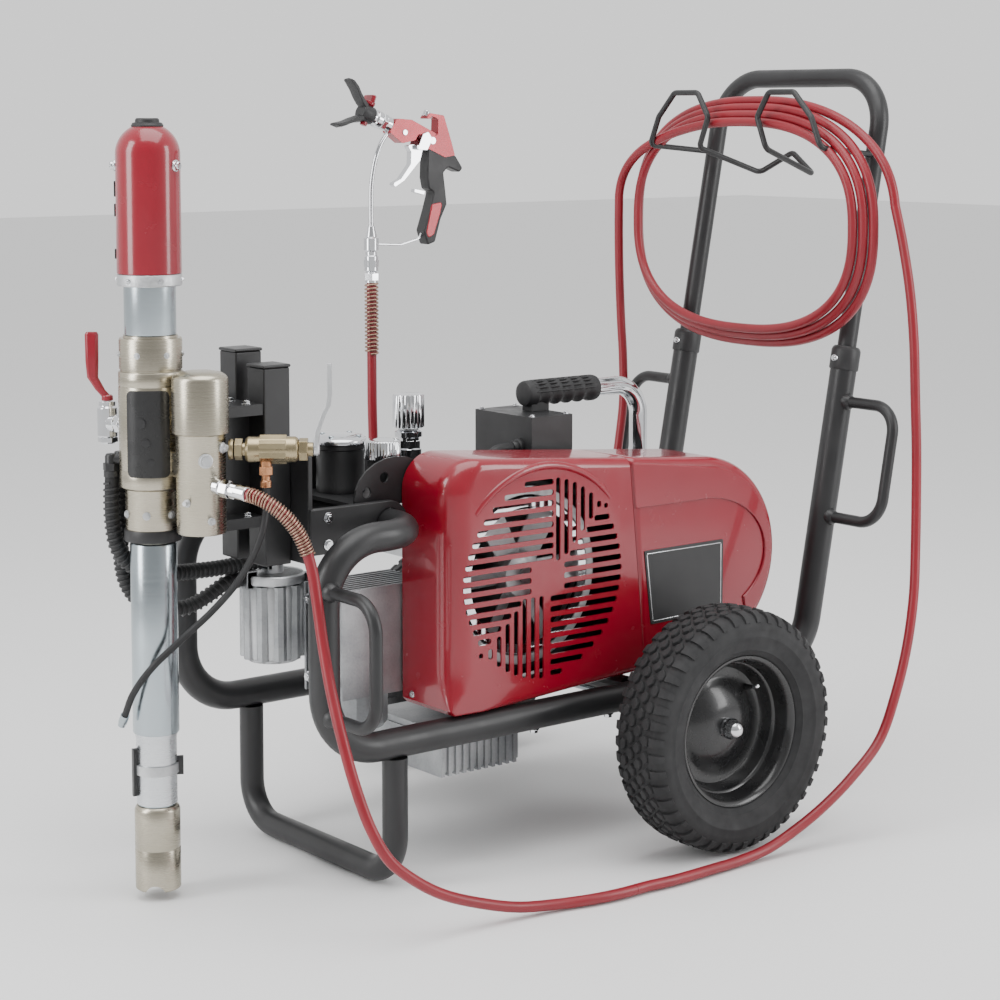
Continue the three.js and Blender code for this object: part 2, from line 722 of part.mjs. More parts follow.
const elbowZ = 642;
const hoseElbows = [{ x: -679.4, y: 42.4 }, { x: -657.5, y: 56.4 }];
add('pump_body', join(
  turned([
    [0, 527], [36, 527], [39, 532], [39, 600], [nickelBodyRadius, 604], [nickelBodyRadius, 770], [44.5, 774],
    [44.5, 818], [42, 822], [0, 822],
  ], pumpX, 0, 24),
  block(pumpX + 10, -62, 625, pumpX + 30, -30, 655),
  ...hoseElbows.flatMap(({ x, y }) => [
    rod(vec(pumpX + (x - pumpX) * 0.7, y * 0.7, elbowZ), vec(x, y, elbowZ), 7, 10),
    rod(vec(x, y, elbowZ - 26), vec(x, y, elbowZ + 8), 9.5, 12),
  ]),
), nickel());

add('filter_housing', cut(
  turned([
    [0, 544], [35, 544], [35, 686], [filterRadius + 1, 688], [filterRadius + 1, 766], [34, 772], [0, 776],
  ], pumpX + 28, -87.5, 20),
  rod(vec(pumpX, 0, 520), vec(pumpX, 0, 800), nickelBodyRadius + gap, 24),
  block(pumpX + 10 - gap, -62 - gap, 625 - gap, pumpX + 30 + gap, -30, 655 + gap),
), nickel());

add('suction_tube', turned([
  [0, 137 + gap], [28, 137 + gap], [28, 244], [33.5, 244], [33.5, 523], [30, 527 - gap], [0, 527 - gap],
], pumpX, 0, 20), steel());

add('foot_valve', cut(
  turned([[0, 12], [33, 12], [33, 131], [31, 137], [0, 137]], pumpX, 0, 20),
  rod(vec(pumpX, -60, 6), vec(pumpX, 60, 6), 16, 12),
  turned([[0, 4], [23, 4], [23, 60], [0, 60]], pumpX, 0, 14),
), nickel());

// Brass bleed valve on the filter, with a lever on its stem.
const bleedHeading = -38 * Math.PI / 180;
const bleedDir = vec(Math.cos(bleedHeading), Math.sin(bleedHeading), 0);
const bleedStart = vec(pumpX + 28, -87.5, 664).addScaledVector(bleedDir, filterRadius + 1.3);
const alongBleed = (distance, z = 0) => bleedStart.clone().addScaledVector(bleedDir, distance).setZ(664 + z);
add('bleed_valve', join(
  rod(alongBleed(0.3), alongBleed(24), 9, 12),
  rod(alongBleed(22), alongBleed(108), 22, 6),
  rod(alongBleed(104), alongBleed(120), 14, 12),
  rod(alongBleed(52, -18), alongBleed(52, -54), 8, 10),
), brass());
add('bleed_lever', join(
  rod(alongBleed(120.3), alongBleed(126), 16, 12),
  rod(alongBleed(123, 10), alongBleed(143, 62), 3.4, 6),
  rod(alongBleed(143, 58), alongBleed(143, 124), 5, 8),
), steel());

// Shut-off valve on the far front side, with a long red handle.
const shutY = 58;
const shutX = pumpX - 30;
add('shutoff_valve', cut(
  join(
    rod(vec(pumpX - 18, 36, 690), vec(shutX, shutY + 16, 690), 13, 10),
    rod(vec(shutX, shutY + 16, 660), vec(shutX, shutY + 16, 722), 15, 12),
  ),
  rod(vec(pumpX, 0, 640), vec(pumpX, 0, 740), nickelBodyRadius + gap, 24),
), steel());
add('shutoff_lever', join(
  rod(vec(shutX, shutY + 16, 722 + gap), vec(shutX, shutY + 16, 730), 11, 12),
  rod(vec(shutX, shutY + 16, 728), vec(shutX - 16.1, shutY + 30, 758), 5, 8),
  rod(vec(shutX - 16.1, shutY + 30, 752), vec(shutX - 16.1, shutY + 30, 822), 8, 10),
), redPaint());

// Paint outlet: a hexagon and a ferrule pointing back towards the guard's side and a little down.
const outletEnd = vec(-584, -170, 607.5);
const outletStart = vec(-603, -124.5, 614);
const outletDir = outletEnd.clone().sub(outletStart).normalize();
add('paint_outlet', cut(
  join(
    rod(outletStart, outletEnd.clone().addScaledVector(outletDir, -14), 13, 6),
    rod(outletEnd.clone().addScaledVector(outletDir, -15), outletEnd.clone().addScaledVector(outletDir, -gap), 10.5, 12),
  ),
  rod(vec(pumpX + 28, -87.5, 540), vec(pumpX + 28, -87.5, 700), 35 + gap, 20),
), nickel());

// ---------------------------------------------------------------- spray gun
// Drawn in its own plane, from the hose swivel's top: u forward to back, w up.
const gunPoint = (u, w, y = 0) => vec(gunX + u, gunY + y, swivelTopZ + w);

function gunPlate(points, halfThickness, mid = 0) {
  const outline = points.map(([u, w]) => [gunX + u, swivelTopZ + w]);
  return plateXZ(polygon(outline), gunY + mid - halfThickness, gunY + mid + halfThickness);
}

const gunOutline = [
  [31, 161], [57, 140], [83, 146], [91, 158], [109, 148], [109, 133], [107, 82], [109, 67], [86, 65],
  [85, 60], [104, 54], [100, -6], [81, -14], [81, -28], [109, -30], [125, -24], [136, 14], [149, 39],
  [146, 64], [142, 92], [152, 101], [176, 92], [183, 99], [167, 121], [160, 143], [144, 188], [115, 192],
  [108, 183], [113, 182], [119, 187], [132, 182], [131, 156], [109, 166], [76, 181], [46, 183],
];
function gunBody() {
  const tube = bentTube([
    gunPoint(0, 0), gunPoint(0, 70), gunPoint(9, 115), gunPoint(36, 160),
  ], 4, 40, 8);
  const foot = join(
    rod(gunPoint(0, -88), gunPoint(0, -70), 14, 6),
    rod(gunPoint(0, -71), gunPoint(0, 2), 12, 12),
  );
  const guardWire = rod(gunPoint(6, -24), gunPoint(86, -21), 2.5, 6);
  return join(gunPlate(gunOutline, 12), tube, foot, guardWire);
}
add('gun_body', gunBody(), redPaint());

const triggerOutline = [
  [68, 138], [82, 139], [104, 137], [96, 113], [63, 80], [44, 69], [42, 77], [57, 82], [76, 107], [76, 128],
];
const earOutline = [[84, 132], [106, 130], [118, 150], [108, 162], [96, 158]];
add('gun_trigger', join(
  gunPlate(triggerOutline, 7),
  gunPlate([[84, 131], [104, 131], [104, 140], [84, 140]], 15.6),
  gunPlate(earOutline, 1.5, 14.1),
  gunPlate(earOutline, 1.5, -14.1),
), chrome());

const barrelRise = 21.4 * Math.PI / 180;
const barrelDir = vec(-Math.cos(barrelRise), 0, Math.sin(barrelRise));
const barrelUp = vec(Math.sin(barrelRise), 0, Math.cos(barrelRise));
const barrelBase = gunPoint(31, 175);
const onBarrel = (along, up = 0) => barrelBase.clone().addScaledVector(barrelDir, along).addScaledVector(barrelUp, up);

const keyPlace = 42;
function tipGuard() {
  const parts = [rod(onBarrel(1.2), onBarrel(30), 12, 8), rod(onBarrel(28), onBarrel(56), 13, 12)];
  for (const sign of [-1, 1]) {
    const wing = new THREE.BoxGeometry(40, 22, 4);
    wing.rotateY(sign * 0.75);
    wing.translate(-70, 0, sign * 25);
    wing.rotateY(barrelRise);
    parts.push(wing.translate(barrelBase.x, barrelBase.y, barrelBase.z));
  }
  return cut(join(...parts),
    rod(onBarrel(keyPlace, 2), onBarrel(keyPlace, 20), 6 + runningGap, 12));
}
add('tip_guard', cut(tipGuard(), gunPlate(gunOutline, 12.4)), plastic());
add('tip_key', join(
  rod(onBarrel(keyPlace, 3), onBarrel(keyPlace, 22), 6, 12),
  rod(onBarrel(keyPlace, 20), onBarrel(keyPlace, 42), 8, 10),
  rod(onBarrel(keyPlace - 2, 46).add(vec(0, -4, 0)), onBarrel(keyPlace - 2, 46).add(vec(0, 4, 0)), 9, 12),
  rod(onBarrel(keyPlace - 28, 44).add(vec(0, -4, 0)), onBarrel(keyPlace - 28, 44).add(vec(0, 4, 0)), 9, 12),
  rod(onBarrel(keyPlace, 45), onBarrel(keyPlace - 28, 44), 4, 8),
), redPaint());
// ---------------------------------------------------------------- hoses
// Paint hose, first length: out of the pump, down past the frame and along the floor.
const lowHose = [
  [-584, -170, 607.5], [-579, -182, 605.5], [-569, -197, 598], [-553, -211, 582], [-537, -220, 560], [-526, -226, 534],
  [-519, -232, 502], [-518, -241, 465], [-521, -260, 405], [-526, -287, 343], [-529, -317, 283], [-526, -344, 221],
  [-515, -365, 164], [-494, -379, 119], [-458, -388, 86], [-413, -393, 58], [-349, -398, 33],
  [-287, -404, 16], [-219, -414, 9], [-162, -427, 8.2], [-115, -432, 8.2], [-93, -432, 8.2],
];
// Second length: from the floor beside the wheel up to the coil on the rack.
const highHose = [
  [-92.4, -432, 8.2], [-70, -432, 8.2], [-17, -436, 8.2], [60, -434, 8.2], [120, -431, 8.2], [180, -431, 15],
  [235, -434, 34], [290, -439, 61], [352, -442, 99], [417, -440, 148], [460, -435, 219], [494, -426, 290],
  [518, -416, 364], [536, -402, 438], [547, -392, 515], [551, -387, 595], [553, -381, 675], [556, -373, 770],
  [560, -359, 850], [564, -337, 930], [565, -319.6, 985],
];
// Last length: from the coil down behind the power unit, in a hanging loop, and up to the gun.
const gunHose = [
  [520, 309.8, 985], [522, 312.5, 930], [526, 315, 850], [529, 313, 760], [529, 307, 690], [524, 300, 610],
  [512, 297, 540], [496, 294, 468], [470, 287, 412], [430, 278, 376], [370, 268, 354], [300, 262, 346],
  [220, 258, 345], [140, 256, 354], [66, 255, 376], [2, 257, 418], [-42, 259, 474], [-62, 260, 540],
  [-67, 260, 620], [-68, 260, 720], [-68, 260, 800], [-68, 260, swivelTopZ - 88 - gap],
];
add('paint_hose_low', cordTube(lowHose, hoseRadius), redHose());
add('paint_hose_high', cordTube(highHose, hoseRadius), redHose());
add('paint_hose_gun', cordTube(gunHose, hoseRadius), redHose());

// The hanging coil's outer shape: an oval ring with square shoulders, resting on the rack's rods.
function coilOutline(mid, halfWidth, top, bottom, power, path) {
  const middle = (top + bottom) / 2;
  const steps = 36;
  for (let i = 0; i <= steps; i += 1) {
    const angle = i * 2 * Math.PI / steps;
    const across = Math.sign(Math.cos(angle)) * Math.abs(Math.cos(angle)) ** (2 / power);
    const up = Math.sign(Math.sin(angle)) * Math.abs(Math.sin(angle)) ** (2 / power);
    const x = mid + halfWidth * across;
    const y = middle + (top - bottom) / 2 * up;
    if (i === 0) path.moveTo(x, y);
    else path.lineTo(x, y);
  }
  return path;
}

function hoseCoil() {
  const depth = 29;
  const shape = coilOutline(coilMidY, 308, 1151, 724, 2.7, new THREE.Shape());
  shape.holes.push(coilOutline(0, 254, 1119, 771, 3.3, new THREE.Path()));
  const geometry = new THREE.ExtrudeGeometry(shape, { depth, bevelEnabled: false });
  geometry.rotateX(Math.PI / 2);
  geometry.rotateZ(Math.PI / 2);
  return geometry.translate(coilX - depth / 2, 0, 0);
}
add('hose_coil', hoseCoil(), redHose());

// Two spiral-wrapped hydraulic hoses between the pump's foot and the power unit, and the bleed hose.
const hydraulicHoseA = [
  [-679.4, 42.4, 615.4], [-680, 43, 585], [-679, 43, 550], [-670, 46, 512], [-648, 50, 484], [-616, 54, 470],
  [-575, 60, 460], [-530, 68, 456], [-480, 74, 454], [-440, 78, 455], [-402.8, 78, 455],
];
const hydraulicHoseB = [
  [-657.5, 56.4, 615.4], [-657.5, 57, 585], [-656, 62, 545], [-650, 72, 495], [-636, 82, 450], [-610, 88, 418],
  [-575, 90, 402], [-530, 88, 398], [-496, 83, 412], [-464, 78, 430], [-440.8, 78, 430],
];
add('hydraulic_hose_supply', cordTube(hydraulicHoseA, hydraulicHoseRadius, 2), rubber());
add('hydraulic_hose_return', cordTube(hydraulicHoseB, hydraulicHoseRadius, 2), rubber());

const bleedDrop = alongBleed(52, -54.3);
const bleedHose = [
  [bleedDrop.x, bleedDrop.y, bleedDrop.z], [bleedDrop.x, bleedDrop.y, 580], [-551, -150, 540], [-566, -120, 480],
  [-590, -84, 430], [-626, -60, 390], [-668, -44, 350], [-684, -18, 310], [-686, 6, 270],
];
add('bleed_hose', cordTube(bleedHose, bleedHoseRadius, 3), rubber());

export default sprayer;
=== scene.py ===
"""Airless paint sprayer on a two-wheeled cart: the looks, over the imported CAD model.

Sizes are in millimetres in the CAD model's frame, and become metres where a mesh or a curve is made.
"""
import math

import bmesh
import bpy
from mathutils import Matrix, Vector


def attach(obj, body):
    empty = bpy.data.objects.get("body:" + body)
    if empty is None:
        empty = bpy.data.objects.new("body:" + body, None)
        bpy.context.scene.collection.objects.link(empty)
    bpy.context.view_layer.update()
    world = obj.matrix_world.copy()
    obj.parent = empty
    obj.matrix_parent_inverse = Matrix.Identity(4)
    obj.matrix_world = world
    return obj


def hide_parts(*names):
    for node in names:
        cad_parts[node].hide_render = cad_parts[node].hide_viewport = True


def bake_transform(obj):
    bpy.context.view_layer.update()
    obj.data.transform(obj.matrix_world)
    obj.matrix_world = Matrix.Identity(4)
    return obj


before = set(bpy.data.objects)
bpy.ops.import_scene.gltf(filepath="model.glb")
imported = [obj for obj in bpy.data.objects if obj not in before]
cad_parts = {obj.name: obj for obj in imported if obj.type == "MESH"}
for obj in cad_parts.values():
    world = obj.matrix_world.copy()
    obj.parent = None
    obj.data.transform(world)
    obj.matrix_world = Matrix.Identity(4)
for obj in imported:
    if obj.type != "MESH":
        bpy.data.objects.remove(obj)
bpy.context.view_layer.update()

# ---------------------------------------------------------------- sizes
MM = 0.001
HALF_WIDTH = 195
MAIN_TUBE = 22.2
STAND_TUBE = 19
HANDLE_TUBE = 16
GRAB_ROD = 9.5
RAIL_Z = 220
PIVOT = (-300, 528)
FRONT_X = -475
REAR_X = 489
LEAN = math.radians(10.8)
LOWER_TOP_Z = 740
HANDLE_TOP_Z = 1195
AXLE = (168, 190)
TYRE_MID_Y = 344.5
PUMP_X = -637
FILTER = (-609, -87.5)
GUN = (-68, 260, 943)
HOSE_D = 16
HYDRAULIC_D = 20
BLEED_D = 10
COIL_TURNS = 3.5
GRILLE = (-80, 433, 157)
GUARD_FRONT_X = -259
GUARD_BOTTOM_Z = 245
GUARD_TOP_Z = 626
GUARD_SHOULDER_R = 55
GUARD_REAR_R = 162
GUARD_NEAR_Y = -209
GUARD_BACK_Y = -87
SPLIT_X = 88
DRIVEN = (-93, 434, 138)
MOTOR = (251, 425)
LIFT_BAR = (302, 10, 684)
OIL_TANK = (-285, 38)
FILLER = (-262, -42)
KNOB = (-128, 75)
OIL_FILTER = (-385, 78)
YOKE_ARM_Y = 106
YOKE_FACE_X = -432.5
COLUMN_Y = 38
BLEED_Z = 664


def handle_x(z):
    return REAR_X + (z - RAIL_Z) * math.tan(LEAN)


# ---------------------------------------------------------------- camera, which the cords are judged by
CAMERA = Vector((-2.320, -2.9315, 1.140))
FORWARD = Vector((0.6203, 0.7844, 0))
SHIFT_Y = -0.15
HORIZON_DROP = 0.39
LENS = 84.85
SENSOR = 36.0
pitch = math.atan((HORIZON_DROP + SHIFT_Y) * SENSOR / LENS)
camera_data = bpy.data.cameras.new("camera")
camera_data.lens = LENS
camera_data.sensor_width = SENSOR
camera_data.shift_y = SHIFT_Y
camera_data.clip_end = 60
camera = bpy.data.objects.new("camera", camera_data)
camera.location = CAMERA
aim = FORWARD.normalized() * math.cos(pitch) + Vector((0, 0, -math.sin(pitch)))
camera.rotation_euler = aim.to_track_quat("-Z", "Y").to_euler()
bpy.context.scene.collection.objects.link(camera)
bpy.context.scene.camera = camera


# ---------------------------------------------------------------- materials
class Nodes:
    """A material's node tree, with short ways to add and link nodes."""

    def __init__(self, name):
        self.material = bpy.data.materials.new(name)
        self.material.use_nodes = True
        self.tree = self.material.node_tree
        self.shader = self.tree.nodes["Principled BSDF"]
        self.place = self.add("ShaderNodeTexCoord").outputs["Object"]

    def add(self, kind, **settings):
        node = self.tree.nodes.new(kind)
        for key, value in settings.items():
            setattr(node, key, value)
        return node

    def link(self, output, socket):
        self.tree.links.new(output, socket)

    def noise(self, scale, detail=3.0, stretch=None):
        node = self.add("ShaderNodeTexNoise")
        node.inputs["Scale"].default_value = scale
        node.inputs["Detail"].default_value = detail
        source = self.place
        if stretch:
            mapping = self.add("ShaderNodeMapping")
            mapping.inputs["Scale"].default_value = stretch
            self.link(self.place, mapping.inputs["Vector"])
            source = mapping.outputs["Vector"]
        self.link(source, node.inputs["Vector"])
        return node.outputs["Fac"]

    def remap(self, value, low, high, from_low=0.3, from_high=0.7):
        node = self.add("ShaderNodeMapRange")
        node.inputs["From Min"].default_value = from_low
        node.inputs["From Max"].default_value = from_high
        node.inputs["To Min"].default_value = low
        node.inputs["To Max"].default_value = high
        self.link(value, node.inputs["Value"])
        return node.outputs["Result"]

    def colour(self, value, first, second):
        node = self.add("ShaderNodeMix", data_type="RGBA")
        node.inputs["A"].default_value = (*first, 1)
        node.inputs["B"].default_value = (*second, 1)
        self.link(value, node.inputs["Factor"])
        return node.outputs["Result"]

    def bump(self, height, strength, distance=0.0005, under=None):
        node = self.add("ShaderNodeBump")
        node.inputs["Strength"].default_value = strength
        node.inputs["Distance"].default_value = distance
        self.link(height, node.inputs["Height"])
        if under:
            self.link(under, node.inputs["Normal"])
        return node.outputs["Normal"]


def surface(name, light, dark, rough, metallic=0.0, mottle=9.0, rough_scale=35.0, grain=900.0,
            grain_strength=0.08,
            stretch=None, coat=0.0, coat_rough=0.05, specular=0.5):
    """A painted, moulded or metal surface: mottled colour, uneven gloss and a fine grain."""
    nodes = Nodes(name)
    shader = nodes.shader
    nodes.link(nodes.colour(nodes.remap(nodes.noise(mottle, 5.0, stretch), 0, 1), light, dark),
               shader.inputs["Base Color"])
    nodes.link(nodes.remap(nodes.noise(rough_scale, 4.0, stretch), rough[0], rough[1]),
               shader.inputs["Roughness"])
    nodes.link(nodes.bump(nodes.noise(grain, 2.0, stretch), grain_strength), shader.inputs["Normal"])
    shader.inputs["Metallic"].default_value = metallic
    shader.inputs["Coat Weight"].default_value = coat
    shader.inputs["Coat Roughness"].default_value = coat_rough
    shader.inputs["Specular IOR Level"].default_value = specular
    return nodes.material


def cast_metal(name, light, dark):
    """Sand-cast alloy: pitted, with darker dirt in its hollows."""
    nodes = Nodes(name)
    shader = nodes.shader
    pits = nodes.noise(260.0, 6.0)
    stain = nodes.noise(14.0, 6.0)
    nodes.link(nodes.colour(nodes.remap(stain, 0, 1, 0.35, 0.7), light, dark), shader.inputs["Base Color"])
    nodes.link(nodes.remap(pits, 0.34, 0.6), shader.inputs["Roughness"])
    nodes.link(nodes.bump(pits, 0.35, 0.0008), shader.inputs["Normal"])
    shader.inputs["Metallic"].default_value = 0.9
    return nodes.material


def turned_metal(name, light, dark, rough, lines=420.0, strength=0.05, stretch=(0.02, 0.02, 1.0)):
    """Machined metal, with fine tool lines across the lathe's axis."""
    nodes = Nodes(name)
    shader = nodes.shader
    tool = nodes.noise(lines, 2.0, stretch)
    blotch = nodes.noise(12.0, 5.0)
    nodes.link(nodes.colour(nodes.remap(blotch, 0, 1), light, dark), shader.inputs["Base Color"])
    nodes.link(nodes.remap(tool, rough[0], rough[1]), shader.inputs["Roughness"])
    nodes.link(nodes.bump(tool, strength, 0.0004), shader.inputs["Normal"])
    shader.inputs["Metallic"].default_value = 1.0
    shader.inputs["Anisotropic"].default_value = 0.35
    return nodes.material


def rubber_surface(name, light, dark, rough):
    """Moulded rubber with a dusty bloom and tiny pores."""
    nodes = Nodes(name)
    shader = nodes.shader
    bloom = nodes.noise(22.0, 6.0)
    pores = nodes.noise(1400.0, 2.0)
    nodes.link(nodes.colour(nodes.remap(bloom, 0, 1), light, dark), shader.inputs["Base Color"])
    nodes.link(nodes.remap(nodes.noise(60.0, 4.0), rough[0], rough[1]), shader.inputs["Roughness"])
    nodes.link(nodes.bump(pores, 0.12, 0.0004), shader.inputs["Normal"])
    shader.inputs["Specular IOR Level"].default_value = 0.4
    return nodes.material


BLACK = surface("black_powder_coat", (0.012, 0.012, 0.013), (0.022, 0.022, 0.023), (0.34, 0.46), grain=1100,
                grain_strength=0.16)
GLOSS_BLACK = surface("black_enamel", (0.010, 0.010, 0.011), (0.018, 0.018, 0.018), (0.22, 0.34), grain=700,
                      grain_strength=0.05, coat=0.2)
RED = surface("red_enamel", (0.270, 0.0035, 0.016), (0.240, 0.003, 0.014), (0.20, 0.28), mottle=4.0,
              grain=500,
              grain_strength=0.02, coat=0.5, coat_rough=0.04)
RED_METALLIC = surface("red_anodised", (0.36, 0.004, 0.016), (0.28, 0.003, 0.012), (0.24, 0.32),
                       metallic=0.55,
                       grain=1500, grain_strength=0.05, coat=0.5)
CHROME = surface("bright_chrome", (0.74, 0.75, 0.77), (0.66, 0.67, 0.69), (0.05, 0.12), metallic=1.0,
                 grain=300,
                 grain_strength=0.015)
NICKEL = turned_metal("dull_nickel", (0.47, 0.43, 0.35), (0.41, 0.38, 0.30), (0.24, 0.30), strength=0.015)
STEEL = turned_metal("turned_steel", (0.46, 0.52, 0.55), (0.41, 0.46, 0.49), (0.20, 0.26), strength=0.01)
ALUMINIUM = turned_metal("drawn_aluminium", (0.66, 0.68, 0.70), (0.58, 0.60, 0.62), (0.24, 0.32),
                         strength=0.015)
BRASS = surface("dull_brass", (0.46, 0.39, 0.25), (0.36, 0.29, 0.17), (0.22, 0.36), metallic=1.0, grain=500)
COPPER = surface("copper_fitting", (0.60, 0.30, 0.16), (0.46, 0.21, 0.10), (0.20, 0.36), metallic=1.0,
                 grain=500)
CAST = cast_metal("cast_alloy", (0.46, 0.47, 0.48), (0.27, 0.28, 0.29))
BRIGHT_CAST = cast_metal("polished_casting", (0.64, 0.65, 0.66), (0.48, 0.49, 0.50))
TYRE = rubber_surface("tyre_rubber", (0.016, 0.016, 0.017), (0.028, 0.028, 0.029), (0.62, 0.80))
RUBBER = rubber_surface("black_rubber", (0.014, 0.014, 0.015), (0.024, 0.024, 0.025), (0.48, 0.64))
PLASTIC = surface("black_plastic", (0.014, 0.014, 0.015), (0.022, 0.022, 0.023), (0.38, 0.52), grain=1600,
                  grain_strength=0.2)
HOSE = surface("red_hose_jacket", (0.260, 0.006, 0.016), (0.215, 0.005, 0.013), (0.34, 0.46), mottle=16,
               grain=1300,
               grain_strength=0.06, coat=0.15, coat_rough=0.3)
BRONZE = surface("bronze_spring", (0.42, 0.27, 0.20), (0.30, 0.19, 0.14), (0.26, 0.4), metallic=1.0,
                 grain=900)
PLATE = surface("name_plate", (0.018, 0.018, 0.019), (0.026, 0.026, 0.027), (0.40, 0.5), grain=1800,
                grain_strength=0.1)


# ---------------------------------------------------------------- ways to make pieces
def link_piece(obj, body, material, nodes=()):
    if obj.name not in bpy.context.scene.collection.objects:
        bpy.context.scene.collection.objects.link(obj)
    obj.data.materials.append(material)
    if body:
        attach(obj, body)
    if nodes:
        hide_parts(*nodes)
    return obj


def mesh_piece(name, bm, body, material, slot=None, nodes=(), smooth=32, bevel=0.0, segments=2):
    """Turns a finished bmesh, in millimetres, into a piece on a body."""
    bmesh.ops.remove_doubles(bm, verts=bm.verts, dist=0.001)
    bmesh.ops.recalc_face_normals(bm, faces=bm.faces)
    bmesh.ops.scale(bm, vec=(MM, MM, MM), verts=bm.verts)
    mesh = bpy.data.meshes.new(name)
    bm.to_mesh(mesh)
    bm.free()
    for polygon in mesh.polygons:
        polygon.use_smooth = True
    mesh.set_sharp_from_angle(angle=math.radians(smooth))
    obj = bpy.data.objects.new(name, mesh)
    link_piece(obj, body, material, nodes)
    if bevel:
        add_bevel(obj, bevel, segments, smooth)
    return obj


def add_bevel(obj, width, segments=2, angle=32):
    modifier = obj.modifiers.new("edges", "BEVEL")
    modifier.width = width * MM
    modifier.segments = segments
    modifier.limit_method = "ANGLE"
    modifier.angle_limit = math.radians(angle)
    modifier.harden_normals = True
    modifier.miter_outer = "MITER_ARC"


def axis_matrix(origin, axis):
    """A frame at origin whose Z lies along axis."""
    turn = Vector(axis).normalized().to_track_quat("Z", "Y").to_matrix().to_4x4()
    return Matrix.Translation(Vector(origin)) @ turn


def turn(bm, profile, origin, axis=(0, 0, 1), sides=72):
    """Adds a lathe-turned shape: profile is (radius, distance along the axis) pairs."""
    frame_matrix = axis_matrix(origin, axis)
    rings = []
    for radius, along in profile:
        if radius < 0.01:
            rings.append([bm.verts.new(frame_matrix @ Vector((0, 0, along)))])
            continue
        ring = []
        for i in range(sides):
            angle = 2 * math.pi * i / sides
            ring.append(bm.verts.new(frame_matrix @ Vector((radius * math.cos(angle),
                                                            radius * math.sin(angle), along))))
        rings.append(ring)
    for first, second in zip(rings, rings[1:]):
        for i in range(sides):
            corners = [first[i % len(first)], first[(i + 1) % len(first)],
                       second[(i + 1) % len(second)], second[i % len(second)]]
            unique = list(dict.fromkeys(corners))
            if len(unique) > 2:
                bm.faces.new(unique)
    return bm


def turned_piece(name, profile, origin, body, material, axis=(0, 0, 1), sides=72, bevel=0.0, **more):
    bm = turn(bmesh.new(), profile, origin, axis, sides)
    return mesh_piece(name, bm, body, material, bevel=bevel, **more)


def box(bm, low, high):
    centre = [(a + b) / 2 for a, b in zip(low, high)]
    size = [b - a for a, b in zip(low, high)]
    bmesh.ops.create_cube(bm, size=1, matrix=Matrix.Translation(centre) @ Matrix.Diagonal((*size, 1)))
    return bm


def loft(bm, rings):
    """Joins rings of corners, one after another, and closes both ends."""
    for low, high in zip(rings, rings[1:]):
        for i in range(len(low)):
            after = (i + 1) % len(low)
            bm.faces.new([low[i], low[after], high[after], high[i]])
    bm.faces.new(rings[0])
    bm.faces.new(rings[-1])
    return bm


def prism(bm, outline, low, high, origin=(0, 0, 0), axis=(0, 0, 1)):
    """Adds a flat outline of (x, y) pairs, thickened from low to high along the axis."""
    frame_matrix = axis_matrix(origin, axis)
    return loft(bm, [[bm.verts.new(frame_matrix @ Vector((x, y, at))) for x, y in outline] for at in (low,
                                                                                                      high)])


def slab(bm, outline, y_low, y_high):
    """Adds an outline of (x, z) pairs, thickened from y_low to y_high."""
    return loft(bm, [[bm.verts.new((x, y, z)) for x, z in outline] for y in (y_low, y_high)])


def hexagon(radius, turned=0.0):
    return [(radius * math.cos(turned + math.pi * k / 3), radius * math.sin(turned + math.pi * k / 3))
            for k in range(6)]


def screw(bm, at, axis, radius=5.0, height=4.0):
    """A hexagon head on a round flange."""
    turn(bm, [(0, 0), (radius * 1.35, 0), (radius * 1.35, 1.2), (0, 1.2)], at, axis, 20)
    prism(bm, hexagon(radius), 1.0, 1.0 + height, at, axis)
    turn(bm, [(radius * 0.62, height * 0.9), (radius * 0.5, height + 1.9), (0, height + 1.9)], at, axis, 20)
    return bm


def rounded(points, radius, steps=6):
    """A closed 2-D outline with its corners rounded; radius is one number or one for each corner."""
    count = len(points)
    radii = radius if isinstance(radius, (list, tuple)) else [radius] * count
    outline = []
    for i, corner in enumerate(points):
        here = Vector(corner)
        before = (Vector(points[i - 1]) - here)
        after = (Vector(points[(i + 1) % count]) - here)
        half = before.angle(after) / 2
        reach = min(radii[i] / math.tan(half), before.length * 0.49, after.length * 0.49)
        start = here + before.normalized() * reach
        end = here + after.normalized() * reach
        for k in range(steps + 1):
            t = k / steps
            outline.append(tuple((1 - t) ** 2 * start + 2 * t * (1 - t) * here + t * t * end))
    return outline


def bent(corners, bends, steps=12):
    """Corner points joined by straight lengths and round bends, as a tube bender makes them."""
    points = [Vector(c) for c in corners]
    bends = bends if isinstance(bends, (list, tuple)) else [bends] * (len(points) - 2)
    path = [points[0]]
    for i in range(1, len(points) - 1):
        incoming = (points[i] - points[i - 1]).normalized()
        outgoing = (points[i + 1] - points[i]).normalized()
        angle = incoming.angle(outgoing)
        start = points[i] - incoming * bends[i - 1] * math.tan(angle / 2)
        side = (outgoing - incoming * math.cos(angle)).normalized()
        count = max(3, round(angle / (math.pi / 2) * steps))
        for k in range(count + 1):
            a = angle * k / count
            path.append(start + (incoming * math.sin(a) + side * (1 - math.cos(a))) * bends[i - 1])
    path.append(points[-1])
    return path


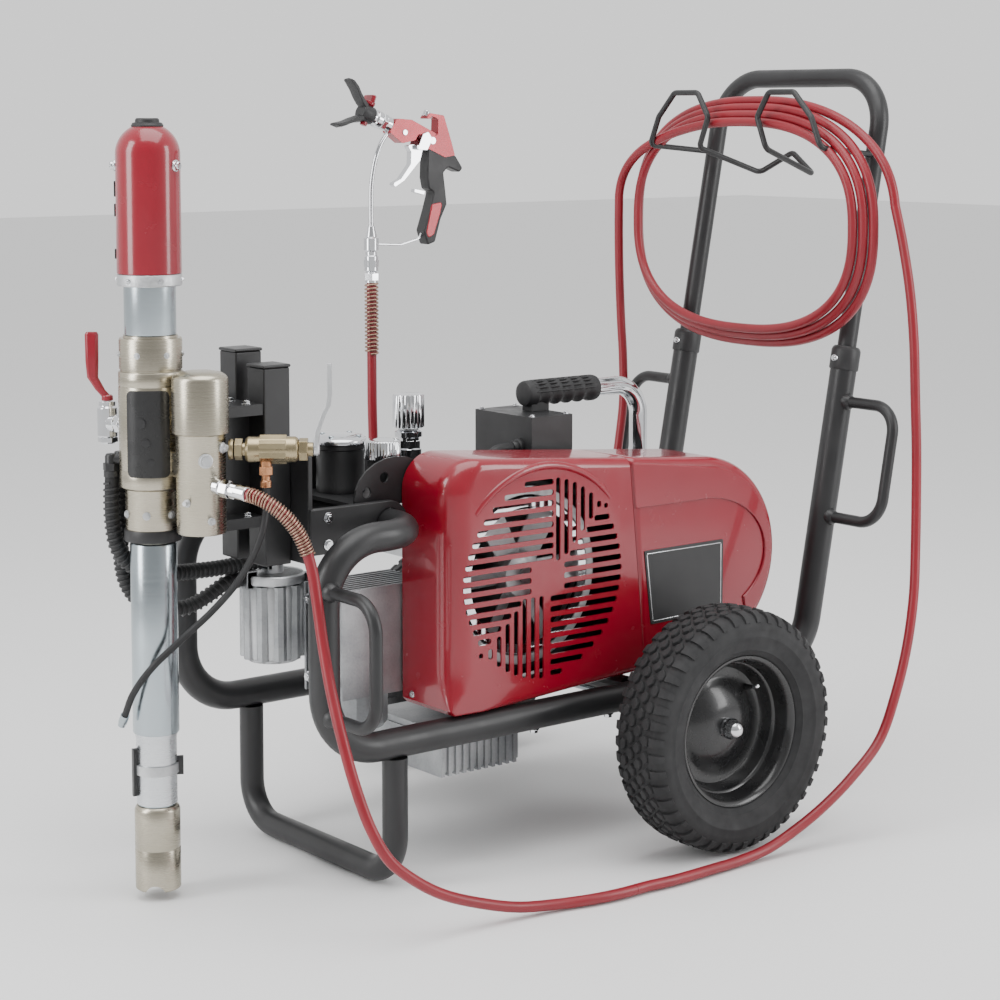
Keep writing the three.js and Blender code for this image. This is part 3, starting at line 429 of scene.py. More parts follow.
def smooth_route(points, spacing=9.0):
    """Points a spacing apart along a centripetal Catmull-Rom curve through the given ones."""
    knots = [Vector(p) for p in points]
    knots = [knots[0] * 2 - knots[1], *knots, knots[-1] * 2 - knots[-2]]
    route = []
    for a, b, c, d in zip(knots, knots[1:], knots[2:], knots[3:]):
        ta, tb = 0.0, math.sqrt((b - a).length)
        tc = tb + math.sqrt((c - b).length)
        td = tc + math.sqrt((d - c).length)
        count = max(1, round((c - b).length / spacing))
        for k in range(count):
            t = tb + (tc - tb) * k / count
            ab = a.lerp(b, (t - ta) / (tb - ta))
            bc = b.lerp(c, (t - tb) / (tc - tb))
            cd = c.lerp(d, (t - tc) / (td - tc))
            abc = ab.lerp(bc, (t - ta) / (tc - ta))
            bcd = bc.lerp(cd, (t - tb) / (td - tb))
            route.append(abc.lerp(bcd, (t - tb) / (tc - tb)))
    route.append(knots[-2])
    return route


def meshed(curve_object):
    mesh = bpy.data.meshes.new_from_object(curve_object)
    name = curve_object.name
    bpy.data.objects.remove(curve_object)
    return bpy.data.objects.new(name, mesh)


def tube(name, path, radius, body, material, nodes=(), closed=False, sides=8):
    """A round bar or tube along a path in millimetres. With no body of its own it's a mesh."""
    data = bpy.data.curves.new(name, "CURVE")
    data.dimensions = "3D"
    data.bevel_depth = radius * MM
    data.bevel_resolution = sides
    data.use_fill_caps = not closed
    spline = data.splines.new("POLY")
    spline.points.add(len(path) - 1)
    for point, place in zip(spline.points, path):
        point.co = (*(Vector(place) * MM), 1)
    spline.use_smooth = True
    spline.use_cyclic_u = closed
    obj = bpy.data.objects.new(name, data)
    return link_piece(obj if body else meshed(obj), body, material, nodes)


def helix(path, radius, pitch, first=0.0, last=None, per_turn=12):
    """Points of a spring wound round a path, from one distance along it to another."""
    distances = [0.0]
    for a, b in zip(path, path[1:]):
        distances.append(distances[-1] + (b - a).length)
    last = distances[-1] if last is None else last
    count = int((last - first) / pitch * per_turn)
    normal = (path[1] - path[0]).orthogonal().normalized()
    points = []
    segment = 0
    for i in range(count + 1):
        at = first + (last - first) * i / count
        while segment < len(path) - 2 and distances[segment + 1] < at:
            segment += 1
        a, b = path[segment], path[segment + 1]
        along = (b - a).normalized()
        centre = a + (b - a) * ((at - distances[segment]) / (distances[segment + 1] - distances[segment]))
        normal = (normal - along * normal.dot(along)).normalized()
        angle = 2 * math.pi * i / per_turn
        points.append(centre + (normal * math.cos(angle) + along.cross(normal) * math.sin(angle)) * radius)
    return points


def length_of(path):
    return sum((b - a).length for a, b in zip(path, path[1:])) * MM


def dress(node, material, bevel=0.0, segments=2):
    """Gives a CAD node that stays its material and softened edges."""
    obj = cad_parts[node]
    if not obj.data.materials:
        obj.data.materials.append(material)
    for place in obj.material_slots:
        place.material = material
    if bevel:
        add_bevel(obj, bevel, segments, 30)
    return obj


# ---------------------------------------------------------------- hoses
LOW_ROUTE = [
    (-584, -170, 607.5), (-579, -182, 605.5), (-569, -197, 598), (-553, -211, 582), (-537, -220, 560),
    (-526, -226, 534), (-519, -232, 502), (-518, -241, 465), (-521, -260, 405), (-526, -287, 343),
    (-529, -317, 283), (-526, -344, 221), (-515, -365, 164), (-494, -379, 119), (-458, -388, 86),
    (-413, -393, 58), (-349, -398, 33), (-287, -404, 16), (-219, -414, 9), (-162, -427, 8.2),
    (-115, -432, 8.2), (-93, -432, 8.2),
]
HIGH_ROUTE = [
    (-92.4, -432, 8.2), (-70, -432, 8.2), (-17, -436, 8.2), (60, -434, 8.2), (120, -431, 8.2),
    (180, -431, 15),
    (235, -434, 34), (290, -439, 61), (352, -442, 99), (417, -440, 148), (460, -435, 219), (494, -426, 290),
    (518, -416, 364), (536, -402, 438), (547, -392, 515), (551, -387, 595), (553, -381, 675),
    (556, -373, 770),
    (560, -359, 850), (564, -337, 930), (565, -319.6, 985),
]
GUN_ROUTE = [
    (520, 309.8, 985), (522, 312.5, 930), (526, 315, 850), (529, 313, 760), (529, 307, 690), (524, 300, 610),
    (512, 297, 540), (496, 294, 468), (470, 287, 412), (430, 278, 376), (370, 268, 354), (300, 262, 346),
    (220, 258, 345), (140, 256, 354), (66, 255, 376), (2, 257, 418), (-42, 259, 474), (-62, 260, 540),
    (-67, 260, 620), (-68, 260, 720), (-68, 260, 800), (-68, 260, 854.7),
]
SUPPLY_ROUTE = [
    (-679.4, 42.4, 615.4), (-680, 43, 585), (-679, 43, 550), (-670, 46, 512), (-648, 50, 484),
    (-616, 54, 470),
    (-575, 60, 460), (-530, 68, 456), (-480, 74, 454), (-440, 78, 455), (-402.8, 78, 455),
]
RETURN_ROUTE = [
    (-657.5, 56.4, 615.4), (-657.5, 57, 585), (-656, 62, 545), (-650, 72, 495), (-636, 82, 450),
    (-610, 88, 418),
    (-575, 90, 402), (-530, 88, 398), (-496, 83, 412), (-464, 78, 430), (-440.8, 78, 430),
]


def ease(weight):
    weight = min(1.0, max(0.0, weight))
    return weight * weight * (3 - 2 * weight)


def coil_point(angle, t):
    """A point of the hung coil, t of the way along it: an oval with square shoulders that tightens."""
    spread = 1 - t
    power = 2.5
    across = math.copysign(abs(math.cos(angle)) ** (2 / power), math.cos(angle))
    up = math.copysign(abs(math.sin(angle)) ** (2 / power), math.sin(angle))
    top = 1117 + 42 * spread
    bottom = 774 - 42 * spread
    return Vector((556 - 37 * t, -5 * spread + (258 + 42 * spread) * across,
                   (top + bottom) / 2 + (top - bottom) / 2 * up))


def coil_route():
    """The whole coil; its ends swing out of the stack to meet the hoses that hang from it."""
    steps = round(COIL_TURNS * 160)
    first, last = math.pi - 0.118, math.pi - 0.03 - 2 * math.pi * COIL_TURNS + 0.14
    raw = [coil_point(first + (last - first) * i / steps, i / steps) for i in range(steps + 1)]
    start, end = Vector(HIGH_ROUTE[-1]), Vector(GUN_ROUTE[0])
    window = 0.055
    route = []
    for i, point in enumerate(raw):
        t = i / steps
        lead, tail = ease(1 - t / window), ease(1 - (1 - t) / window)
        step_forward = Vector((-5 * math.sin(math.pi * tail), 0, 0))
        route.append(point + (start - raw[0]) * lead + (end - raw[-1]) * tail + step_forward)
    return route


def hose(name, route, diameter, material, slot, node, body=None, across=None, pieces=(), **facts):
    """A hose that is one cord, made as a tube along its route; where it spans a joint, the placing of it and
    of what is on it is baked into their meshes.
    """
    piece = tube(name, route, diameter / 2, body, material, (node,))
    for each in (piece, *pieces):
        if across:
            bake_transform(each)
    return piece


low_path = smooth_route(LOW_ROUTE)
high_path = smooth_route(HIGH_ROUTE)
gun_path = smooth_route(GUN_ROUTE)
outlet_spring = tube("outlet_spring", helix(low_path, 9.6, 4.4, 2, 128), 1.5, None, BRONZE, sides=3)
gun_length = length_of(gun_path) / MM
gun_spring = tube("gun_spring", helix(gun_path, 10.2, 6.4, gun_length - 118, gun_length - 1), 1.9, None,
                  BRONZE,
                  sides=3)
hose("paint_hose_first", low_path, HOSE_D, HOSE, "red_hose", "paint_hose_low", pieces=(outlet_spring,),
     across=("pump_unit", "chassis", (-0.55, -0.21, 0.58), (-0.50, -0.37, 0.12)),
     far_end="object", stiffness="medium", lay="loose")
hose("paint_hose_second", high_path, HOSE_D, HOSE, "red_hose", "paint_hose_high",
     across=("chassis", "handle", (0.50, -0.42, 0.32), (0.56, -0.33, 0.93)),
     far_end="object", stiffness="medium", lay="loose")
hose("paint_hose_coil", coil_route(), HOSE_D, HOSE, "red_hose", "hose_coil", body="handle",
     far_end="object", stiffness="medium", lay="coiled")
hose("paint_hose_last", gun_path, HOSE_D, HOSE, "red_hose", "paint_hose_gun", pieces=(gun_spring,),
     across=("handle", "chassis", (0.52, 0.31, 0.93), (0.50, 0.29, 0.46)),
     far_end="tool", stiffness="medium", lay="hanging")

for label, points, node in (("supply", SUPPLY_ROUTE, "hydraulic_hose_supply"),
                            ("return", RETURN_ROUTE, "hydraulic_hose_return")):
    path = smooth_route(points, 6.0)
    wrap = tube(f"{label}_hose_wrap", helix(path, HYDRAULIC_D / 2 + 0.8, 9.0, 8), 1.9, None, PLASTIC,
                sides=3)
    hose(f"{label}_hose", path, HYDRAULIC_D, RUBBER, "black_rubber", node, pieces=(wrap,),
         across=("pump_unit", "chassis", (-0.67, 0.045, 0.54), (-0.42, 0.077, 0.44)),
         far_end="object", stiffness="medium", lay="hanging")

BLEED_DIR = Vector((math.cos(math.radians(-38)), math.sin(math.radians(-38)), 0))
BLEED_FROM = Vector((*FILTER, BLEED_Z)) + BLEED_DIR * 39.3
bleed_drop = BLEED_FROM + BLEED_DIR * 52
BLEED_ROUTE = [
    (bleed_drop.x, bleed_drop.y, 609.7), (bleed_drop.x, bleed_drop.y, 580), (-551, -150, 540),
    (-566, -120, 480),
    (-590, -84, 430), (-626, -60, 390), (-668, -44, 350), (-684, -18, 310), (-686, 6, 270),
]
bleed_path = smooth_route(BLEED_ROUTE, 6.0)
bleed_end = bleed_path[-1]
bleed_nozzle = turned_piece("bleed_nozzle", [(0, -6), (6.4, -6), (6.4, 8), (5.4, 10), (5.4, 14), (0, 14)],
                            bleed_end, "pump_unit", STEEL, axis=bleed_end - bleed_path[-2], sides=32)
hose("bleed_hose_line", bleed_path, BLEED_D, RUBBER, "black_rubber", "bleed_hose", body="pump_unit",
     pieces=(bleed_nozzle,), far_end="connector", stiffness="medium", lay="hanging")

# ---------------------------------------------------------------- cart frame
SIDES = ((-1, "near"), (1, "far"))


def frame_half(sign):
    y = sign * HALF_WIDTH
    return [(handle_x(LOWER_TOP_Z), y, LOWER_TOP_Z), (REAR_X, y, RAIL_Z), (FRONT_X, y, RAIL_Z),
            (FRONT_X, y, PIVOT[1]), (PIVOT[0], y, PIVOT[1])]


tube("main_frame", bent(frame_half(-1) + frame_half(1)[::-1], [92, 92, 92, 70, 70, 92, 92, 92], 16),
     MAIN_TUBE,
     "chassis", BLACK, ("side_frame_near", "side_frame_far", "pivot_tube"), sides=14)
stand_top = RAIL_Z - MAIN_TUBE + 1
tube("stand_bar", bent([(-352, -HALF_WIDTH, stand_top), (-352, -HALF_WIDTH, STAND_TUBE),
                        (-352, HALF_WIDTH, STAND_TUBE), (-352, HALF_WIDTH, stand_top)], 62, 16), STAND_TUBE,
     "chassis", BLACK, ("front_stand",), sides=12)
lean_axis = Vector((math.sin(LEAN), 0, math.cos(LEAN)))


def grab_bar(name, sign, top, bottom, node):
    inner = sign * (HALF_WIDTH + MAIN_TUBE - 1)
    outer = sign * (HALF_WIDTH + MAIN_TUBE + 106)
    corners = [(top[0], inner, top[1]), (top[0], outer, top[1]), (bottom[0], outer, bottom[1]),
               (bottom[0], inner, bottom[1])]
    tube(name, bent(corners, 44, 14), GRAB_ROD, "chassis", BLACK, (node,), sides=10)
    bm = bmesh.new()
    for x, z in (top, bottom):
        turn(bm, [(GRAB_ROD, 7), (11.5, 4.5), (14, 0), (14.5, -5), (0, -5)], (x, sign * 217.2, z),
             (0, sign, 0), 32)
    mesh_piece(f"{name}_welds", bm, "chassis", BLACK, smooth=60)


for sign, side in SIDES:
    grab_bar(f"front_grab_{side}", sign, (FRONT_X, 462), (FRONT_X, 280), f"grab_handle_front_{side}")
    grab_bar(f"rear_grab_{side}", sign, (handle_x(653), 653), (handle_x(462), 462),
             f"grab_handle_rear_{side}")
    collar_at = (handle_x(LOWER_TOP_Z), sign * HALF_WIDTH, LOWER_TOP_Z)
    turned_piece(f"handle_collar_{side}",
                 [(16.4, 4), (20, 4), (23, 1), (24.6, -3), (24.6, -34), (23.6, -36), (22.3, -36), (22.3, -2),
                  (16.4, -2), (16.4, 4)], collar_at, "chassis", PLASTIC, axis=lean_axis, bevel=0.6)
    pin_at = Vector(collar_at) - lean_axis * 18 + Vector((-23.5, 0, 4))
    turned_piece(f"handle_pin_{side}", [(0, -2), (6, -2), (6, 2), (4.6, 5), (3, 6.4), (0, 6.8)], pin_at,
                 "chassis",
                 CHROME, axis=(-1, 0, 0.19), sides=32)

bm = bmesh.new()
for sign, side in SIDES:
    plate = rounded([(126, 214), (212, 214), (190, 176), (146, 176)], [3, 3, 14, 14])
    slab(bm, plate, sign * HALF_WIDTH - 4, sign * HALF_WIDTH + 4)
mesh_piece("axle_plates", bm, "chassis", BLACK, bevel=1.0)
bm = bmesh.new()
for sign, side in SIDES:
    for x in (-90, 60, 330):
        screw(bm, (x, sign * HALF_WIDTH, RAIL_Z - MAIN_TUBE + 0.5), (0, 0, -1), 6.5, 5)
mesh_piece("rail_bolts", bm, "chassis", CHROME, bevel=0.3)


def upper_handle():
    foot_z = LOWER_TOP_Z - 100
    near = [(handle_x(foot_z), -HALF_WIDTH, foot_z), (handle_x(HANDLE_TOP_Z), -HALF_WIDTH, HANDLE_TOP_Z)]
    far = [(x, -y, z) for x, y, z in reversed(near)]
    return bent(near + far, 88, 18)


def rack_rod():
    leg_x = handle_x(1066) - HANDLE_TUBE / math.cos(LEAN)
    half = [(leg_x, 200, 1066), (505, 209, 1078), (505, 187, 1128), (505, 146, 1170), (505, 87, 1170),
            (505, 60, 1128), (505, 82, 1075), (636, 65, 1030)]
    near = [(x, -y, z) for x, y, z in half]
    return bent(near + [(652, 0, 1066)] + half[::-1], 12, 8)


tube("push_handle", upper_handle(), HANDLE_TUBE, "handle", BLACK, ("upper_handle",), sides=12)
tube("rack_rod", rack_rod(), 5, "handle", BLACK, ("hose_rack",), sides=8)

# ---------------------------------------------------------------- wheels
dress("axle", STEEL)


def tyre_carcass(bm, mid):
    half = [(118.3, -36.5), (120, -39), (126, -43), (127.5, -45), (130, -45.3), (140, -49.2), (147, -50.7),
            (148.3, -51.9), (150.6, -52.1), (152, -51.3), (160, -52.2), (168, -51), (175, -48), (180, -43.5),
            (182.6, -38), (183.8, -30), (184.4, -12), (184.5, 0)]
    profile = half + [(r, -y) for r, y in reversed(half[:-1])]
    turn(bm, profile + [profile[0]], (AXLE[0], mid, AXLE[1]), (0, 1, 0), 144)


def tread_block(bm, mid, angle, row_y, top_r, base_r, half_y, half_arc, skew):
    """One moulded block: a waisted hexagon that narrows towards its top."""
    outline = [(-half_y, -half_arc * 0.45), (0, -half_arc), (half_y, -half_arc * 0.45),
               (half_y, half_arc * 0.45), (0, half_arc), (-half_y, half_arc * 0.45)]
    rings = []
    for radius, size in ((base_r, 1.0), (top_r - 0.8, 0.86), (top_r, 0.74)):
        ring = []
        for y, arc in outline:
            turned = angle + (arc * size + skew * y) / radius
            drop = 0.0016 * (row_y + y * size) ** 2
            ring.append(bm.verts.new((AXLE[0] + (radius - drop) * math.sin(turned), mid + row_y + y * size,
                                      AXLE[1] + (radius - drop) * math.cos(turned))))
        rings.append(ring)
    for low, high in zip(rings, rings[1:]):
        for i in range(6):
            bm.faces.new([low[i], low[(i + 1) % 6], high[(i + 1) % 6], high[i]])
    bm.faces.new(rings[-1])


def shoulder_lug(bm, mid, sign, angle, half_arc):
    """A bar that runs over the tyre's shoulder onto its side."""
    spine = [(187.6, 33.5), (185.6, 41.0), (181.6, 47.2), (176.5, 50.6), (171.5, 51.6)]
    rings = []
    for k, (radius, y) in enumerate(spine):
        width = half_arc * (1 - 0.10 * k)
        inner = (radius - 6.5 + 0.6 * k, y - 4.5)
        ring = []
        for r, yy, arc in ((*inner, -width * 1.15), (radius, y, -width), (radius, y, width),
                           (*inner, width * 1.15)):
            a = angle + arc / radius
            ring.append(bm.verts.new((AXLE[0] + r * math.sin(a), mid + sign * yy,
                                      AXLE[1] + r * math.cos(a))))
        rings.append(ring)
    for low, high in zip(rings, rings[1:]):
        for i in range(3):
            bm.faces.new([low[i], low[i + 1], high[i + 1], high[i]])
    bm.faces.new(rings[0])
    bm.faces.new(rings[-1])


def tyre(name, mid, node, body):
    bm = bmesh.new()
    tyre_carcass(bm, mid)
    count = 46
    rows = (-24.0, -8.0, 8.0, 24.0)
    for row, y in enumerate(rows):
        for i in range(count):
            angle = 2 * math.pi * (i + 0.5 * (row % 2)) / count
            tread_block(bm, mid, angle, y, 189.8, 182.6, 7.0, 10.6, 0.2 * (-1) ** row)
    for sign in (-1, 1):
        for i in range(count):
            shoulder_lug(bm, mid, sign, 2 * math.pi * (i + (0.5 if sign > 0 else 0.0)) / count, 7.2)
    mesh_piece(name, bm, body, TYRE, "tyre_rubber", (node,), smooth=38)


def rim(name, mid, sign, node, body):
    face = [(16, 8), (30, 6.4), (44, 2.6), (56, -3.2), (66, -10.4), (72, -15), (76, -16.4), (86, -16.4),
            (91, -15), (95, -9), (98, 4), (99.6, 7), (102.4, 8.2), (104, 12), (107, 27), (110, 34),
            (113.6, 37), (117, 37.5), (118, 36.5)]
    back = [(118, -36.5), (110, -37.5), (104, -26), (97, -21), (80, -20.5), (40, -20.5), (26, -24), (8, -24),
            (8, 8), (16, 8)]
    turned_piece(name, face + back, (AXLE[0], mid, AXLE[1]), body, GLOSS_BLACK, axis=(0, sign, 0), sides=128,
                 slot="black_paint", nodes=(node,), smooth=40)


def rim_details(side, mid, sign, body):
    cap = [(16.4, 0), (16.4, 10), (15.2, 13), (13.2, 20), (10, 24.6), (5.6, 27.3), (0, 28)]
    turned_piece(f"hub_nut_{side}", cap, (AXLE[0], sign * 353.3, AXLE[1]), body, CHROME, axis=(0, sign, 0),
                 slot="chrome", nodes=(f"hub_cap_{side}",), smooth=50)
    turned_piece(f"valve_stem_{side}", [(0, 0), (5, 0), (4.4, 4), (3.2, 10), (3.2, 18), (0, 18)],
                 (AXLE[0] + 62, mid - sign * 15, AXLE[1] + 50), body, RUBBER, axis=(0, sign, 0.25), sides=32)
    turned_piece(f"valve_cap_{side}", [(0, 17), (3.7, 17), (3.7, 25), (2.4, 27), (0, 27)],
                 (AXLE[0] + 62, mid - sign * 15, AXLE[1] + 50), body, CHROME, axis=(0, sign, 0.25), sides=32)


for sign, side in SIDES:
    tyre(f"road_tyre_{side}", sign * TYRE_MID_Y, f"tyre_{side}", f"wheel_{side}")
    rim(f"dish_rim_{side}", sign * TYRE_MID_Y, sign, f"rim_{side}", f"wheel_{side}")
    rim_details(side, sign * TYRE_MID_Y, sign, f"wheel_{side}")

# ---------------------------------------------------------------- belt guard
def guard_outline():
    """The guard's outline seen from its side."""
    front, shoulder, rear = GUARD_FRONT_X, GUARD_SHOULDER_R, GUARD_REAR_R
    slope = math.atan2(GUARD_TOP_Z - MOTOR[1] - rear, MOTOR[0] - front - shoulder)
    points = [(front + 8, GUARD_BOTTOM_Z), (front + 30, 244.6), (front + 60, 244), (-150, 243), (0, 252),
              (130, 258)]
    for k in range(49):
        angle = -math.pi / 2 + (math.pi - slope) * k / 48
        points.append((MOTOR[0] + rear * math.cos(angle), MOTOR[1] + rear * math.sin(angle)))
    start, end = points[-1], None
    arc = []
    for k in range(15):
        angle = math.pi / 2 - slope + (math.pi / 2 + slope) * k / 14
        arc.append((front + shoulder + shoulder * math.cos(angle),
                    GUARD_TOP_Z - shoulder + shoulder * math.sin(angle)))
    end = arc[0]
    points += [tuple(Vector(start).lerp(Vector(end), k / 12)) for k in range(1, 12)] + arc
    points += [(front, 571 - 318 * k / 12) for k in range(1, 13)]
    return points


EDGE_R, FRONT_EDGE_R = 15, 39


def near_edge(point, normal, angle):
    """Where the guard's outline has got to, this far round its near edge, which is widest down the front."""
    foot = ease((point.y - 246) / 50)
    width = 4 + (EDGE_R - 4) * max(foot, ease((point.x + 200) / 60))
    width += (FRONT_EDGE_R - EDGE_R) * ease((-190 - point.x) / 60) * foot
    inset = point + normal * width * (1 - math.cos(angle))
    return inset.x, GUARD_NEAR_Y + width * (1 - math.sin(angle)), inset.y


def guard_shell():
    outline = [Vector(p) for p in guard_outline()]
    count = len(outline)
    inward = []
    for i in range(count):
        along = (outline[(i + 1) % count] - outline[i - 1]).normalized()
        inward.append(Vector((-along.y, along.x)))
    bm = bmesh.new()
    rings = [[bm.verts.new((p.x, GUARD_BACK_Y, p.y)) for p in outline]]
    steps = 7
    for k in range(steps + 1):
        angle = math.pi / 2 * k / steps
        ring = []
        for point, normal in zip(outline, inward):
            ring.append(bm.verts.new(near_edge(point, normal, angle)))
        rings.append(ring)
    loft(bm, rings)
    bmesh.ops.delete(bm, geom=[face for face in bm.faces if set(face.verts) == set(rings[0])],
                     context="FACES_ONLY")
    return bm


def capsule(x0, z0, x1, z1):
    radius = min(x1 - x0, z1 - z0) / 2 - 0.01
    return rounded([(x0, z0), (x1, z0), (x1, z1), (x0, z1)], radius, 5)


def grille_slots():
    """The grille's slots, which turn like a pinwheel: rows at left and right, uprights above and below."""
    cx, cz, radius = GRILLE
    half = 4.4
    pitch = 16.4
    slots = []
    for k in range(19):
        z = 147 - pitch * k
        edge = math.sqrt(max(0.0, radius ** 2 - (abs(z) + half) ** 2)) - 2
        if z > 28:
            left_limit = 17
        elif z > -26:
            left_limit = -26
        else:
            left_limit = -45 + (z + 33) * 1.18
        if z > 90:
            right_limit = radius
        elif z > 30:
            right_limit = 54 + (z - 37)
        elif z > -22:
            right_limit = 38
        else:
            right_limit = 11
        if left_limit - -edge > 14:
            slots.append((-edge, z - half, left_limit, z + half))
        if edge - right_limit > 14:
            slots.append((right_limit, z - half, edge, z + half))
    for k in range(6):
        x = 26 + pitch * k
        edge = math.sqrt(radius ** 2 - (x + half) ** 2) - 2
        slots.append((x - half, 32 + pitch * (k - 1) if k else 24, x + half, edge))
    for k in range(7):
        x = -6.5 - pitch * k
        edge = math.sqrt(radius ** 2 - (abs(x) + half) ** 2) - 2
        slots.append((x - half, -edge, x + half, -27 - 17 * max(0, k - 2)))
    slots.append((118, 95, 126, 103))
    slots.append((-127, -107, -119, -99))
    return [(cx + a, cz + b, cx + c, cz + d) for a, b, c, d in slots]


def bake(obj):
    """Applies an object's modifiers to its mesh."""
    shaped = bpy.data.meshes.new_from_object(obj.evaluated_get(bpy.context.evaluated_depsgraph_get()))
    obj.modifiers.clear()
    obj.data = shaped
    return obj


def carve(obj, cutter_bm):
    """Cuts a bmesh, in millimetres, out of a piece."""
    bmesh.ops.recalc_face_normals(cutter_bm, faces=cutter_bm.faces)
    bmesh.ops.scale(cutter_bm, vec=(MM, MM, MM), verts=cutter_bm.verts)
    mesh = bpy.data.meshes.new("cutter")
    cutter_bm.to_mesh(mesh)
    cutter_bm.free()
    cutter = bpy.data.objects.new("cutter", mesh)
    bpy.context.scene.collection.objects.link(cutter)
    modifier = obj.modifiers.new("cut", "BOOLEAN")
    modifier.operation = "DIFFERENCE"
    modifier.solver = "EXACT"
    modifier.object = cutter
    bake(obj)
    bpy.data.objects.remove(cutter)
    obj.data.set_sharp_from_angle(angle=math.radians(32))
    return obj


def guard_part(name, keep_front, node):
    bm = guard_shell()
    seam = Vector((SPLIT_X + (-0.5 if keep_front else 0.9), 0, 626))
    bmesh.ops.bisect_plane(bm, geom=bm.verts[:] + bm.edges[:] + bm.faces[:], plane_co=seam,
                           plane_no=(1, 0, 0.10),
                           clear_outer=keep_front, clear_inner=not keep_front)
    part = mesh_piece(name, bm, "chassis", RED, "red_paint", (node,), smooth=32)
    wall = part.modifiers.new("wall", "SOLIDIFY")
    wall.thickness = 3 * MM
    wall.offset = -1
    bake(part)
    return part


guard_front = guard_part("guard_shell_front", True, "guard_front")
cutters = bmesh.new()
for x0, z0, x1, z1 in grille_slots():
    slab(cutters, capsule(x0, z0, x1, z1), GUARD_NEAR_Y - 12, GUARD_NEAR_Y + 12)
carve(guard_front, cutters)
guard_part("guard_shell_rear", False, "guard_rear")


def guard_band():
    """The raised band along the rear half's top and round its end, above a lower panel."""
    x = SPLIT_X + 6
    outer = [(x, 594)]
    inner = []
    for k in range(33):
        angle = math.radians(86 - 136 * k / 32)
        outer.append((MOTOR[0] + 147 * math.cos(angle), MOTOR[1] + 147 * math.sin(angle)))
        inner.append((MOTOR[0] + 133 * math.cos(angle), MOTOR[1] + 96 * math.sin(angle)))
    return [(x + 7, 521)] + outer + inner[::-1]


bm = slab(bmesh.new(), guard_band(), GUARD_NEAR_Y - 3.5, GUARD_NEAR_Y + 1)
mesh_piece("guard_band", bm, "chassis", RED, bevel=2.8, segments=4)
arch = [Vector((GRILLE[0] + 172 * math.cos(a), GUARD_NEAR_Y + 2.4 + 3 * abs(k / 24 - 1) ** 3,
                GRILLE[1] + 172 * math.sin(a)))
        for k, a in enumerate(math.radians(40 + 100 * k / 48) for k in range(49))]
tube("guard_arch", arch, 6.5, "chassis", RED, sides=8)

plate_outline = rounded([(136, 332), (291, 335), (291, 451), (121, 451)], 3)
bm = slab(bmesh.new(), plate_outline, GUARD_NEAR_Y - 1.6, GUARD_NEAR_Y + 0.5)
mesh_piece("guard_plate", bm, "chassis", PLATE, bevel=0.5)
border = rounded([(140, 337), (286, 340), (286, 446), (126, 446)], 2.5)
tube("guard_plate_border", [Vector((x, GUARD_NEAR_Y - 1.6, z)) for x, z in border], 0.8, "chassis", CHROME,
     closed=True, sides=3)
bm = bmesh.new()
for at, axis in (((-259, -112, 262), (-1, 0, 0)), ((-247, -194, 258), (-0.8, -0.6, 0))):
    screw(bm, at, axis, 4.2, 2.6)
mesh_piece("guard_screws", bm, "chassis", CHROME, bevel=0.25)

bm = bmesh.new()
inner_outline = [(x + (9 if x < -200 else -6 if x > 300 else 0), z + (6 if z < 300 else -8)) for x,
                 z in guard_outline()]
slab(bm, inner_outline, GUARD_BACK_Y - 7, GUARD_BACK_Y - 4)
mesh_piece("guard_back_plate", bm, "chassis", BLACK, smooth=40)

# The driven pulley's spokes are blades that blow air through the grille, and its face has a bright ring.
bm = bmesh.new()
x, z, radius = DRIVEN
turn(bm, [(radius - 14, -176), (radius - 1, -176), (radius, -175), (radius, -168), (radius - 3, -166),
          (radius - 3, -148), (radius, -146), (radius, -140), (radius - 14, -140), (radius - 14, -176)],
     (x, 0, z), (0, 1, 0), 120)
turn(bm, [(12.6, -178), (20, -178), (34, -172), (38, -160), (34, -138), (12.6, -138), (12.6, -178)],
     (x, 0, z), (0, 1, 0), 64)
for k in range(6):
    turn_by = Matrix.Translation((x, -157, z)) @ Matrix.Rotation(k * math.pi / 3, 4, "Y")
    lower = [turn_by @ Vector(p) for p in ((30, -9, -16), (30, -5, -16), (30, 9, 16), (30, 13, 16))]
    upper = [turn_by @ Vector(p) for p in ((126, -13, -18), (126, -9, -18), (126, 9, 18), (126, 13, 18))]
    loft(bm, [[bm.verts.new(end[i]) for i in (0, 1, 3, 2)] for end in (lower, upper)])
turned_piece("pulley_face_ring", [(106, -178.4), (120, -178.4), (121, -177), (121, -172), (106, -172),
                                  (106, -178.4)],
             (x, 0, z), "driven_wheel", CHROME, axis=(0, 1, 0), sides=120)
mesh_piece("fan_pulley", bm, "driven_wheel", BRIGHT_CAST, "cast_alloy", ("driven_pulley",), bevel=0.7)
dress("motor_pulley", BRIGHT_CAST, 1.0)
dress("drive_belt", RUBBER, 0.8)

# ---------------------------------------------------------------- tilting pump
PUMP = (PUMP_X, 0, 0)


def around(angle, radius, z, axis=(PUMP_X, 0)):
    """A point at a heading, in degrees, round an upright axis."""
    a = math.radians(angle)
    return Vector((axis[0] + radius * math.cos(a), axis[1] + radius * math.sin(a), z))


def heading(angle):
    return (math.cos(math.radians(angle)), math.sin(math.radians(angle)), 0)


def dome(radius, base, height, top_radius, steps=14):
    """A lathe profile that closes from a cylinder to a smaller flat top."""
    last = math.acos(top_radius / radius)
    rise = height / math.sin(last)
    return [(radius * math.cos(last * k / steps),
             base + rise * math.sin(last * k / steps)) for k in range(steps + 1)]


